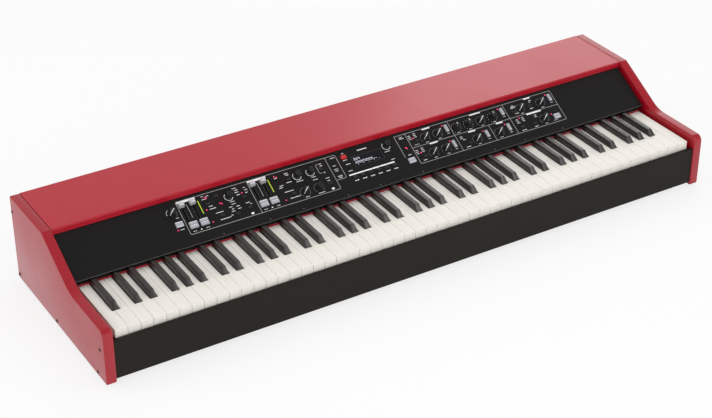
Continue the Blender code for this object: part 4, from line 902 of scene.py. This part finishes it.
@dataclass
class PanelPrint:
    """The printed frames, scales and marks, each a film that stands a little proud of the panel."""

    line: float = 1.0
    letter: float = 0.95
    letter_pitch: float = 1.15
    column_step: float = 3.8
    column_width: float = 5.5
    ring: float = 9.8
    ring_reach: float = 140.0
    hairline: float = 0.35
    tone_ring: float = 10.2
    fader_scale: Place = (53.0, 82.0)
    slim_drop: float = 11.2
    knob_drop: float = 10.4
    low: float = -0.05
    high: float = 0.07
    marks: dict[Ink, list[Shape]] = field(default_factory=lambda: {ink: [] for ink in Ink})

    def build(self) -> None:
        """Print everything and add one piece for each ink."""
        self._frames()
        self._titles_and_words()
        self._scales()
        self._dots()
        for ink, shapes in self.marks.items():
            add_piece(f"panel_print_{ink.value}", Shape.joined(shapes), AXES.panel, INK_FINISH[ink], "cap_grey")
        LOG.info("panel print: %d marks", sum(len(shapes) for shapes in self.marks.values()))

    def put(self, outline: np.ndarray, x: float, along: float, ink: Ink = Ink.WHITE, turn: float = 0.0) -> None:
        """Print an outline round a middle, turned counter-clockwise by an angle in radians."""
        self.marks[ink].append(film(outline, self.low, self.high).at(x, along, turn=turn))

    def bar(self, x: float, along: float, width: float, height: float = 1.3, ink: Ink = Ink.WHITE,
            turn: float = 0.0) -> None:
        """Print a bar with rounded corners."""
        self.put(rectangle(width, height, min(width, height) * 0.25, 2), x, along, ink, turn)

    def words(self, x: float, along: float, width: float, height: float = 1.5) -> None:
        """Print a row of small marks where a control is explained.

        Their heights follow a sine of their number, so that they look like small print from a distance.

        Args:
            x: The middle of the row.
            along: How far up the slope it lies.
            width: Its width.
            height: The height of its tallest marks.
        """
        count = max(2, round(width / self.letter_pitch))
        for index in range(count):
            shift = (index - (count - 1) / 2) * self.letter_pitch
            tall = height * (0.86 + 0.14 * math.sin(2.4 * index + x))
            self.bar(x + shift, along + (tall - height) / 2, self.letter, tall)

    def stroke(self, first: Place, last: Place) -> None:
        """Print a straight grey line between two places."""
        run = np.subtract(last, first)
        self.bar(*np.add(first, last) / 2, float(np.hypot(*run)) + self.line, self.line, Ink.GREY,
                 math.atan2(run[1], run[0]))

    def frame(self, low: Place, high: Place, radius: float = 3.0) -> None:
        """Print a rounded frame between two corners."""
        outline = rectangle(*np.subtract(high, low) + self.line, radius, 5) + np.add(low, high) / 2
        self.marks[Ink.GREY].append(hoop(outline, self.line, self.low, self.high))

    def arc(self, middle: Place, radius: float, start: float, end: float, width: float, ink: Ink) -> None:
        """Print part of a ring.

        Args:
            middle: The ring's middle.
            radius: The radius of its centre line.
            start: Where it starts, in degrees clockwise from the slope's upward direction.
            end: Where it ends, counted the same way.
            width: Its width.
            ink: Its ink.
        """
        angle = np.radians(np.linspace(start, end, 25))[:, None]
        reach = radius + np.array((-width, -width, width, width)) / 2
        height = np.broadcast_to(np.array((self.low, self.high, self.high, self.low)), (25, 4))
        rings = np.stack((middle[0] + reach * np.sin(angle), middle[1] + reach * np.cos(angle), height), axis=-1)
        self.marks[ink].append(loft(rings))

    def dot(self, x: float, along: float, radius: float, ink: Ink = Ink.WHITE) -> None:
        """Print a dot."""
        self.put(circle(radius, 10), x, along, ink)

    def _frames(self) -> None:
        """Print the frames of the sections and the lines that divide them."""
        for first, last in PANEL_FRAMES:
            self.frame(first, last)
        for first, last in PANEL_LINES:
            self.stroke(first, last)

    def _titles_and_words(self) -> None:
        """Print the title bars and the rows of small marks that stand where each control is explained."""
        for title in TITLES:
            self.bar(*title)
        for step, (x, _) in enumerate(SOFT_PADS):
            self.bar(-45.0 + 16.7 * step, 42.4, 16.2, 2.7)
            self.words(x, 28.6, 9.5, 1.9)
        for width, places in WORDS.items():
            for x, along in places:
                self.words(x, along, width)
        for x, along in WORD_COLUMNS:
            for row in range(3):
                self.words(x, along - self.column_step * row, self.column_width)
        for x, along in SLIM_CAPS:
            self.words(x, along - self.slim_drop, 6.0, 1.3)
        for x, along in (*EFFECT_KNOBS, SOUND_KNOBS[3]):
            self.words(x, along - self.knob_drop, 6.5, 1.4)
        for x, along in ((108.9, 63.2), (417.0, 27.0)):
            self.bar(x, along, 11.0, 1.4, Ink.GREY)
        for x in (-263.8, -95.5):
            self.put(rectangle(6.0, 3.6, 1.5, 3), x, 26.9)

    def _scales(self) -> None:
        """Print the arcs and dots round the knobs, the fader scales and the arrows between the double caps."""
        for index, (x, along) in enumerate(EFFECT_KNOBS, start=1):
            if index in TONE_KNOBS:
                for angle in np.radians(np.linspace(-self.ring_reach, self.ring_reach, 9)):
                    self.dot(x + self.tone_ring * math.sin(angle), along + self.tone_ring * math.cos(angle), 0.55)
            else:
                self.arc((x, along), self.ring, -self.ring_reach, self.ring_reach, self.hairline, Ink.GREY)
        for middle in SOUND_KNOBS[3:]:
            self.arc(middle, self.ring, -self.ring_reach, self.ring_reach, self.hairline, Ink.GREY)
        for middle in (*SOUND_KNOBS[:3], DIAL):
            self.arc(middle, 8.1, 112.0, 325.0, 0.95, Ink.WHITE)
        self.arc(LEVEL_KNOB, 9.6, -100.0, -25.0, 0.7, Ink.WHITE)
        self.arc(LEVEL_KNOB, self.ring, 20.0, self.ring_reach, self.hairline, Ink.GREY)
        for left, right in (FADERS[:2], FADERS[2:]):
            middle = (left + right) / 2
            low, high = self.fader_scale
            self.stroke((middle, low), (middle, high))
            for side in (left, right):
                for along in np.linspace(low, high, 6):
                    self.bar(side + math.copysign(3.1, middle - side), float(along), 1.6, 0.3, Ink.GREY)
            self.put(polygon(3, 1.0, 12) @ np.array(((0.0, 1.0), (-1.0, 0.0))), middle + 5.3, 26.8)
            for shift in (-9.5, -5.5, 16.0, 20.0):
                self.bar(middle + shift, 26.6, 2.6, 1.1)

    def _dots(self) -> None:
        """Print the small dots along the panel's lower band."""
        for x in (-332.9, -238.2, -169.1, -74.2, -3.9, 90.6, 256.3, 328.6, 420.2):
            self.dot(x, 5.0, 0.7, Ink.GREY)


@dataclass
class Knobs:
    """The turning knobs: ribbed caps, each with a pointer line across its top and down its side.

    The cap's profile is given by rows of radius, height and ripple, from its shaft up and over its top.
    """

    ribs: int = 18
    rest: float = math.radians(130.0)
    dial_rest: float = math.radians(40.0)
    pointer: float = 1.15
    plain: tuple[str, ...] = ("program_dial", "sound_knob_1", "sound_knob_2", "sound_knob_3", "sound_knob_5")
    profile: tuple[tuple[float, float, float], ...] = (
        (3.0, -4.2, 0.0), (3.0, 0.55, 0.0), (6.5, 0.6, 0.0), (6.95, 0.85, 0.0), (7.0, 1.9, 0.0), (6.8, 2.2, 0.0),
        (6.45, 2.5, 0.0), (6.5, 3.1, 0.16), (6.3, 7.0, 0.18), (6.05, 11.6, 0.16), (5.9, 12.2, 0.04),
        (5.6, 12.7, 0.0), (5.1, 12.95, 0.0), (4.4, 13.0, 0.0), (4.0, 12.85, 0.0), (1.2, 12.8, 0.0))

    def build(self) -> None:
        """Build every knob in place of its node: a profile whose radius ripples in cosine waves along the ribs."""
        cap, line, tick = turned(self.profile, self.ribs * 6, self.ribs), self._line(-5.3), self._line(1.6)
        places = {"level_knob": LEVEL_KNOB, "program_dial": DIAL}
        for name, row in (("sound", SOUND_KNOBS), ("effect", EFFECT_KNOBS)):
            places |= {f"{name}_knob_{index}": place for index, place in enumerate(row, start=1)}
        tone = [f"effect_knob_{index}" for index in TONE_KNOBS]
        for node, place in places.items():
            turn = self.dial_rest if node == "program_dial" else 0.0 if node in tone else self.rest
            mark = (tick if node in tone else line).at(*place, turn=turn)
            body = NODE_BODY[node]
            add_piece(node + "_cap", cap.at(*place, turn=turn), AXES.panel, KNOB_BLACK, "knob_black", body, (node,))
            # Plain knobs get their line in near-black, painted shade for an engraved groove; the others get a white
            # pointer.
            add_piece(node + "_pointer", mark, AXES.panel, SLOT_SHADE_BLACK if node in self.plain else POINTER_WHITE, None,
                      body)
        LOG.info("knobs: %d", len(places))

    def _line(self, start: float) -> Shape:
        """Return the pointer: a strip whose centre line crosses the top and follows the side's slope down.

        Args:
            start: How far from the axis it begins, less than nought on the axis's other side.

        Returns:
            The strip.
        """
        route = np.array(((start, 12.75), (start + 0.4, 13.05), (start / 2 + 1.5, 13.05), (5.0, 13.05),
                          (5.7, 12.8), (6.15, 12.2), (6.3, 11.4), (6.55, 7.0), (6.75, 3.0)))
        across = np.array((-0.5, 0.5, 0.5, -0.5)) * self.pointer
        drop = np.array((0.0, 0.0, -0.5, -0.5))
        way = unit(np.gradient(route, axis=0))
        y = route[:, :1] - way[:, 1:] * drop
        z = route[:, 1:] + way[:, :1] * drop
        return loft(np.stack((np.broadcast_to(across, y.shape), y, z), axis=-1))


@dataclass
class Caps:
    """Faders and push buttons. The grip of a fader is given by rows of inset and height, from the bottom up."""

    rise: float = 2.6
    board_top: float = -11.4
    board_parts_top: float = -4.5
    button_travel: float = 1.2
    square: Place = (14.5, 10.5)
    square_place: Place = (423.2, 34.0)
    grip: tuple[Place, ...] = ((0.3, 0.8), (0.0, 1.1), (0.0, 2.0), (0.55, 5.5), (0.8, 7.6), (1.0, 8.4), (1.5, 8.85),
                               (1.59, 9.0))

    def build(self) -> None:
        """Build the fader caps, the moving buttons, the fixed caps with their board, and the small pads."""
        self._faders()
        self._moving()
        self._board()
        self._fixed()
        self._pads()
        LOG.info("caps: faders, buttons and pads")

    @staticmethod
    def _cushion(width: float, depth: float, low: float, high: float, edge: float, dish: float) -> Shape:
        """Return a cap with rounded edges and a hollow top.

        The top's rings are copies of the outline scaled towards its middle. Above the rounded edge each height
        drops by the dish times one less the square of the place along the slope over half the depth.

        Args:
            width: Its width.
            depth: Its size along the slope.
            low: The height of its lower end.
            high: The height of its top.
            edge: The radius of its upper edge.
            dish: How deep the hollow is.

        Returns:
            The cap, round nought.
        """
        levels = soft_levels(low, high, 0.1, edge, 3)
        skin = inset(rectangle(width, depth, max(edge, 0.6) * 1.2, 3), levels[:, 0])
        inner = skin[-1] * np.linspace(0.85, 0.1, 6)[:, None, None]
        cap = stacked((*skin, *inner), (*levels[:, 1], *[high] * len(inner)))
        is_top = cap.points[:, 2] > high - 1e-6
        cap.points[:, 2] -= dish * is_top * (1.0 - np.clip(cap.points[:, 1] / (depth / 2), -1.0, 1.0) ** 2)
        return cap

    @staticmethod
    def _ridge(width: float, top: float, depth: float = 1.5, proud: float = 0.12) -> Shape:
        """Return the pale ridge that stands a little proud of a cap's top."""
        return slab(rectangle(width, depth, 0.6, 3), soft_levels(top - 0.6, top + proud, 0.05, 0.3, 3))

    def _edges(self, width: float, depth: float) -> Shape:
        """Return the two pale ridges at the lower and upper end of a square cap."""
        end = depth / 2 - 1.1
        return self._ridge(width - 1.4, self.rise).repeated(((0.0, -end), (0.0, end)))

    def _faders(self) -> None:
        """Build the fader caps: a tapered grip, a pale line across it and a blade that runs in its slot.

        The grip's top sinks by a bell curve of the distance from the line.
        """
        cap = slab(rectangle(12.0, 8.0, 1.6, 5), np.array(self.grip))
        cap.points[:, 2] -= (cap.points[:, 2] > 5.0) * 0.9 * np.exp(-(cap.points[:, 1] / 1.6) ** 2)
        cap = Shape.joined((cap, block((-0.7, -2.0, -4.2), (0.7, 2.0, 2.0), 0.2)))
        line = block((-4.4, -0.45, 7.8), (4.4, 0.45, 9.05), 0.15)
        for index, x in enumerate(FADERS, start=1):
            node = f"fader_{index}"
            body = NODE_BODY[node]
            add_piece(node + "_cap", cap.at(x, FADER_REST), AXES.panel, FADER_GREY, "cap_grey", body, (node,))
            add_piece(node + "_line", line.at(x, FADER_REST), AXES.panel, POINTER_WHITE, None, body)

    def _moving(self) -> None:
        """Build the three buttons that slide, each with a hollow top and reaching down to near the board."""
        low = self.board_top + self.button_travel
        for node, place, size, finish, slot in (
                ("level_button", (-401.4, 47.3), self.square, CAP_GREY, "cap_grey"),
                ("shift_button", (81.4, 34.0), self.square, CAP_GREY, "cap_grey"),
                ("store_button", (-45.3, 82.0), (11.0, 8.0), STORE_RED, "store_red")):
            cap = self._cushion(*size, low, self.rise, 0.5, 0.35).at(*place)
            add_piece(node + "_cap", cap, AXES.panel, finish, slot, NODE_BODY[node], (node,))
            if finish is CAP_GREY:
                ridges = self._edges(*size).at(*place)
                add_piece(node + "_ridges", ridges, AXES.panel, CAP_PALE, slot, NODE_BODY[node])

    def _board(self) -> None:
        """Build the board under the panel with its pots, its display module and the fader tracks."""
        foot, top = self.board_top - 0.8, self.board_parts_top
        track = block((-4.0, -FADER_TRAVEL - 5.0, foot), (4.0, 5.0, top)).repeated((x, FADER_REST) for x in FADERS)
        # The tracks are near-black, painted shade for the depth of the fader slots.
        add_piece("fader_tracks", track, AXES.panel, SLOT_SHADE_BLACK, "knob_black")
        pots = block((-5.0, -5.0, foot), (5.0, 5.0, top)).repeated((LEVEL_KNOB, DIAL, *SOUND_KNOBS, *EFFECT_KNOBS))
        board = (block((-421.0, 14.0, self.board_top - 1.6), (446.6, 95.0, self.board_top), 0.2), pots,
                 block((-34.5, 53.75, foot), (35.5, 80.25, -1.9)))
        add_piece("panel_board_parts", Shape.joined(board), AXES.panel, BOARD, "cap_grey", replaces=("panel_board",))

    def _fixed(self) -> None:
        """Build the caps that are fixed to the board."""
        low = self.board_top - 0.5
        grey, pale = [], []
        for shift, depth, top in ((-3.0, 7.0, self.rise), (3.75, 5.5, self.rise + 0.5)):
            places = [(x, along + shift) for x, along in DUAL_CAPS]
            grey.append(self._cushion(16.0, depth, low, top, 0.5, 0.15).repeated(places))
            ridge = self._ridge(14.6, top, proud=0.15).at(0.0, depth / 2 - 1.1)
            pale.append(ridge.repeated(places))
        grey.append(self._cushion(6.4, 15.5, low, self.rise, 0.5, 0.3).repeated(SLIM_CAPS))
        pale.append(self._ridge(4.6, self.rise, 1.4).at(0.0, -6.6).repeated(SLIM_CAPS))
        grey.append(self._cushion(*self.square, low, self.rise, 0.5, 0.35).at(*self.square_place))
        pale.append(self._edges(*self.square).at(*self.square_place))
        add_piece("fixed_caps", Shape.joined(grey), AXES.panel, CAP_GREY, "cap_grey")
        add_piece("fixed_cap_ridges", Shape.joined(pale), AXES.panel, CAP_PALE, "cap_grey")

    def _pads(self) -> None:
        """Build the small dark pads over the ones that are fused with the panel, and the dark fader channels."""
        pads = self._cushion(8.3, 4.9, -0.1, 1.45, 0.45, 0.2).repeated((*SOFT_PADS, *SMALL_PADS))
        add_piece("small_pads", pads, AXES.panel, PAD_BLACK, "panel_black")
        rim = slab(rectangle(1.3, FADER_TRAVEL + 8.0, 0.5, 3), soft_levels(-0.1, 0.3, 0.02, 0.2, 2))
        rims = rim.repeated((x + side, FADER_REST - FADER_TRAVEL / 2) for x in FADERS for side in (-2.35, 2.35))
        add_piece("fader_channel_rims", rims, AXES.panel, PAD_BLACK, "panel_black")


@dataclass
class Lights:
    """The display and the lamps."""

    ladder_steps: int = 10
    ladder_pitch: float = 2.8
    red: tuple[Place, ...] = (
        (-334.5, 84.6), (-331.8, 82.6), (-312.4, 65.0), (-309.4, 63.0), (-341.6, 59.6), (-340.6, 33.4),
        (-264.7, 72.0), (-408.2, 37.4), (-192.5, 84.6), (-188.4, 82.0), (-192.6, 31.8), (107.4, 78.0),
        (107.3, 44.2), (178.0, 86.0), (309.2, 86.0), (425.0, 86.0), (176.2, 49.6), (253.2, 49.6), (305.0, 49.6),
        (342.6, 53.6), (83.4, 63.4), (84.8, 61.0), (414.0, 41.6))
    dark: tuple[Place, ...] = (
        (-307.6, 85.6), (-262.0, 77.4), (-289.6, 47.0), (-170.8, 77.8), (107.4, 85.2), (107.4, 81.6), (107.4, 51.4),
        (107.4, 47.8), (209.6, 51.4), (209.6, 47.6), (342.6, 50.0), (342.6, 46.4), (-70.8, 78.0), (-71.0, 54.0))
    bead: tuple[Place, ...] = ((1.05, -0.1), (1.05, 0.25), (0.95, 0.5), (0.7, 0.72), (0.35, 0.84))

    def build(self) -> None:
        """Build the display's glass and picture, the level ladders and every lamp."""
        self._display()
        self._ladders()
        for name, places, finish in (("lamps_lit", self.red, LAMP_RED), ("lamps_dark", self.dark, LAMP_OFF)):
            add_piece(name, turned(self.bead, 14).repeated(places), AXES.panel, finish, None)
        LOG.info("lights: display, ladders and %d lamps", len(self.red) + len(self.dark))

    def _display(self) -> None:
        """Build the glass with a narrow rim, and a generic picture: a number, a level row and a base line."""
        dress(GLASS, "display_window")
        x, along = DISPLAY
        rim = hoop(rectangle(DISPLAY_SIZE[0] + 2.2, DISPLAY_SIZE[1] + 2.2, 1.4, 4), 1.2, -0.05, 0.3).at(x, along)
        add_piece("display_rim", rim, AXES.panel, PAD_BLACK, "panel_black")
        left, marks = x - DISPLAY_SIZE[0] / 2 + 3.0, []
        for index, bars in enumerate(("abcdef", "abged", "fgbc")):
            marks.append(self._numeral(bars, 4.6).at(left + 2.0 + index * 4.6, along + 4.6))
        for index in range(13):
            height = 1.8 + 1.0 * abs(math.sin(1.7 * index + 0.6))
            marks.append(self._glyph(1.5, height).at(left + 1.8 + index * 2.9, along - 3.2 + height / 2))
        marks.append(self._glyph(46.0, 0.5).at(left + 23.0, along - 5.0))
        marks.append(self._glyph(0.5, 1.8).repeated((left + 5.0 + index * 11.5, along - 7.4) for index in range(5)))
        add_piece("display_picture", Shape.joined(marks), AXES.panel, GLYPH, None)

    @staticmethod
    def _glyph(width: float, height: float) -> Shape:
        """Return one lit bar of the display."""
        return film(rectangle(width, height, min(width, height) * 0.2, 2), 0.01, 0.06)

    def _numeral(self, bars: str, size: float) -> Shape:
        """Return a digit made of up to seven bars, whose places are counted in quarters of its height.

        Args:
            bars: The letters of its bars: a on top, then b to f clockwise round the digit, and g in the middle.
            size: Its height.

        Returns:
            The digit, round nought.
        """
        places = {"a": (0, 2), "b": (1, 1), "c": (1, -1), "d": (0, -2), "e": (-1, -1), "f": (-1, 1), "g": (0, 0)}
        flat, upright = self._glyph(size / 2, 0.7), self._glyph(0.7, size / 2)
        return Shape.joined((upright if places[bar][0] else flat).at(*np.array(places[bar]) * size / 4)
                            for bar in bars)

    def _ladders(self) -> None:
        """Build the two ladders of lamps beside the faders."""
        lamp = slab(rectangle(1.7, 2.1, 0.4, 2), soft_levels(-0.05, 0.35, 0.02, 0.12, 2))
        ladders = lamp.repeated((x, 56.0 + self.ladder_pitch * step) for x in (-349.6, -206.6)
                                for step in range(self.ladder_steps))
        add_piece("level_ladders", ladders, AXES.panel, LAMP_GREEN, None)


@dataclass
class PanelEdgeHighlight:
    """A narrow lighter strip along the panel's lower edge: a painted highlight where the bent edge catches the light.
    """

    half: float = 618.1
    width: float = 0.55

    def build(self) -> None:
        """Build the strip of painted highlight."""
        strip = block((-self.half, 0.35, -0.3), (self.half, 0.35 + self.width, 0.12), 0.08)
        add_piece("panel_edge_highlight", strip, AXES.panel, EDGE_HIGHLIGHT, "panel_black")
        LOG.info("panel edge line")


@dataclass
class RearFittings:
    """Nuts, contacts and screws on the rear panel and under the piano, placed by x and by height or depth."""

    face: float = 388.6
    level: float = 46.0
    underside: float = 3.0
    jacks: tuple[float, ...] = (10.0, 60.0, 92.0, 142.0, 174.0)
    rounds: tuple[float, ...] = (244.0, 276.0)
    data_contacts: tuple[float, float] = (322.4, 329.6)
    inlet: float = 508.9
    plate_screws: tuple[float, ...] = (-9.0, 115.0, 212.0, 345.0)
    screw_dome: tuple[Place, ...] = ((2.8, -0.3), (2.8, 0.4), (2.5, 0.9), (1.9, 1.2))
    pin: tuple[Place, ...] = ((0.55, -8.6), (0.55, -2.6), (0.3, -2.2))
    pin_circle: float = 4.4

    def build(self) -> None:
        """Build every fitting."""
        nuts = self._ring(3.15, 5.75, 1.75, 48, 0.35, 24).repeated((x, self.level) for x in self.jacks)
        add_piece("jack_nuts", nuts, self._rear, NICKEL, "zinc_steel")
        rims = self._ring(6.6, 8.6, 0.7, 40).repeated((x, self.level) for x in self.rounds)
        add_piece("round_socket_rims", rims, self._rear, SOCKET_BLACK, "socket_black")
        add_piece("socket_contacts", self._contacts(), self._rear, NICKEL, "zinc_steel")
        head = screw_head(self.screw_dome, 1.2, 0.2)
        places = [(x, self.level + lift) for x in self.plate_screws for lift in (-13.5, 13.5)]
        places += [(x, height) for height in (14.0, 137.0) for x in np.linspace(-590.0, 590.0, 9)]
        add_piece("rear_screws", head.repeated(places), self._rear, SCREW_BLACK, "socket_black")
        below = head.repeated((x, y) for x in np.linspace(-585.0, 585.0, 7) for y in (30.0, 200.0))
        add_piece("pan_screws", below, self._underside, SCREW_BLACK, "socket_black")
        LOG.info("rear fittings: nuts, rims, contacts and screws")

    def _contacts(self) -> Shape:
        """Make the pins in the round sockets, the data socket's tongue and the three blades of the inlet.

        Returns:
            All the contacts.
        """
        fan = [(self.pin_circle * math.cos(turn), -self.pin_circle * math.sin(turn))
               for turn in np.radians((0.0, 45.0, 90.0, 135.0, 180.0))]
        low, high = self.data_contacts
        pins = turned(self.pin, 10).repeated(fan).repeated((x, self.level) for x in self.rounds)
        tongue = block((low, self.level - 1.6, -9.0), (high, self.level + 1.6, -2.0), 0.2)
        blades = block((-1.0, -2.2, -14.0), (1.0, 2.2, -1.0)).repeated(((-7.0, -3.0), (0.0, 3.0), (7.0, -3.0)))
        return Shape.joined((pins, tongue, blades.at(self.inlet, self.level)))

    def _rear(self, points: np.ndarray) -> np.ndarray:
        """Turn points of the rear face (across, up, out) into metres of the row frame."""
        return AXES.case(np.stack((points[:, 0], self.face + points[:, 2], points[:, 1]), axis=1))

    def _underside(self, points: np.ndarray) -> np.ndarray:
        """Turn points of the pan's underside (across, back, down) into metres of the row frame."""
        return AXES.case(np.stack((points[:, 0], points[:, 1], self.underside - points[:, 2]), axis=1))

    @staticmethod
    def _ring(inner: float, outer: float, high: float, count: int, ripple: float = 0.0, waves: int = 0) -> Shape:
        """Return a ring with softened edges, whose outer side may be ribbed."""
        return turned(((inner, -0.2), (outer, -0.2, ripple / 2), (outer, high - 0.3, ripple / 2), (outer - 0.4, high),
                       (inner + 0.3, high), (inner, high - 0.3)), count, waves, True)


@dataclass
class Studio:
    """The floor, the light and the camera."""

    azimuth: float = -31.4765
    elevation: float = 31.2267
    target: tuple[float, float, float] = (-0.0431, -0.0168465, 0.0647)
    distance: float = 3.1894
    lens: float = 86.002
    shift: Place = (-0.00223, 0.00164)
    fill: float = 0.52
    floor_half: float = 30.0
    floor_colour: Colour = (0.86, 0.86, 0.86)
    floor_glow: float = 0.78
    ceiling: float = 0.2
    fade: Place = (0.15, 0.85)

    def build(self) -> None:
        """Build all that stands round the piano."""
        self._world()
        self._floor()
        self._lamp("softbox_above", (0.2, 0.5, 2.6), (0.0, 0.0, 0.0), 3.0, 28.0, False)
        self._lamp("softbox_front", (-0.6, -3.0, 1.0), (0.0, 0.0, 0.1), 1.6, 37.0, False)
        self._lamp("softbox_high", (1.3, -1.5, 2.2), (0.0, 0.0, 0.1), 0.9, 8.0, True)
        self._lamp("softbox_side", (-2.8, 0.9, 1.0), (-0.64, 0.1, 0.1), 1.4, 25.0, False)
        self._lamp("softbox_rear", (2.45, 2.4, 1.8), (0.5, 0.1, 0.17), 1.6, 11.5, True)
        self._camera()
        bpy.context.scene.view_settings.view_transform = "Standard"
        LOG.info("studio: floor, world, five lamps and the camera")

    @staticmethod
    def _seen(tree: bpy.types.NodeTree) -> bpy.types.NodeSocket:
        """Tell the rays from the camera, off gloss or through glass from all the others.

        Args:
            tree: The tree that gets the nodes.

        Returns:
            A socket that is 1 for those rays, and 0 for others.
        """
        ray = add_node(tree, "LightPath").outputs
        either = worked_out(tree, "MAXIMUM", ray["Is Camera Ray"], ray["Is Glossy Ray"])
        return worked_out(tree, "MAXIMUM", either, ray["Is Transmission Ray"])

    def _world(self) -> None:
        """Make the world white where it is seen, and softer where it only lights the piano.

        The white fades towards a darker ceiling with the height of the direction that is looked in.
        """
        world = bpy.context.scene.world = bpy.data.worlds.new("studio_world")
        world.use_nodes = True
        tree = world.node_tree
        white = (1.0, 1.0, 1.0, 1.0)
        lit = wire(tree, tree.nodes["Background"], Color=white, Strength=self.fill)
        way = add_node(tree, "TexCoord").outputs["Generated"]
        height = add_node(tree, "SeparateXYZ", way).outputs["Z"]
        strength = spread(tree, height, self.fade, (1.0, self.ceiling))
        shown = add_node(tree, "Background", Color=white, Strength=strength)
        mix = add_node(tree, "MixShader", self._seen(tree), lit.outputs[0], shown.outputs[0])
        wire(tree, tree.nodes["World Output"], Surface=mix.outputs[0])

    def _floor(self) -> None:
        """Lay a pale floor that keeps a soft shadow and is nearly white where it is seen."""
        mesh = bpy.data.meshes.new("floor")
        corners = np.array(((-1, -1, 0), (1, -1, 0), (1, 1, 0), (-1, 1, 0))) * self.floor_half
        mesh.from_pydata(corners, [], [(0, 1, 2, 3)])
        floor = bpy.data.objects.new("floor", mesh)
        bpy.context.scene.collection.objects.link(floor)
        made = bpy.data.materials.new("pale_floor")
        made.use_nodes = True
        tree = made.node_tree
        tree.nodes.remove(tree.nodes["Principled BSDF"])
        paper = add_node(tree, "BsdfDiffuse", Color=(*self.floor_colour, 1.0))
        share = worked_out(tree, "MULTIPLY", self._seen(tree), self.floor_glow)
        mix = add_node(tree, "MixShader", share, paper.outputs[0], add_node(tree, "Emission").outputs[0])
        wire(tree, tree.nodes["Material Output"], Surface=mix.outputs[0])
        mesh.materials.append(made)

    @staticmethod
    def _lamp(name: str, place: Sequence[float], aim: Sequence[float], size: float, power: float,
              is_mirrored: bool) -> None:
        """Hang a square lamp and point it at the piano.

        Args:
            name: Its name.
            place: Where it hangs.
            aim: The point that it faces.
            size: The length of its side in metres.
            power: Its power in watts.
            is_mirrored: Whether glossy surfaces show it.
        """
        data = bpy.data.lights.new(name, "AREA")
        data.size, data.energy = size, power
        lamp = bpy.data.objects.new(name, data)
        lamp.location = place
        lamp.visible_glossy = is_mirrored
        x, y, z = np.subtract(aim, place)
        lamp.rotation_euler = (math.atan2(math.hypot(x, y), -z), 0.0, math.atan2(-x, y))
        bpy.context.scene.collection.objects.link(lamp)

    def _camera(self) -> None:
        """Stand the camera where the photograph was taken from."""
        azimuth, elevation = math.radians(self.azimuth), math.radians(self.elevation)
        back = np.array((math.sin(azimuth) * math.cos(elevation), -math.cos(azimuth) * math.cos(elevation),
                         math.sin(elevation)))
        data = bpy.data.cameras.new("camera")
        data.sensor_width, data.lens = 36.0, self.lens
        data.shift_x, data.shift_y = self.shift
        camera = bpy.context.scene.camera = bpy.data.objects.new("camera", data)
        camera.location = np.asarray(self.target) + back * self.distance
        camera.rotation_euler = (math.pi / 2 - elevation, 0.0, azimuth)
        bpy.context.scene.collection.objects.link(camera)


def main() -> None:
    """Build the whole scene, one sub-assembly after another."""
    logging.basicConfig(level=logging.INFO, format="%(message)s")
    for assembly in (Studio(), Case(), Keyboard(), PanelPrint(), Knobs(), Caps(), Lights(), PanelEdgeHighlight(),
                     RearFittings()):
        assembly.build()


if __name__ == "__main__":
    main()
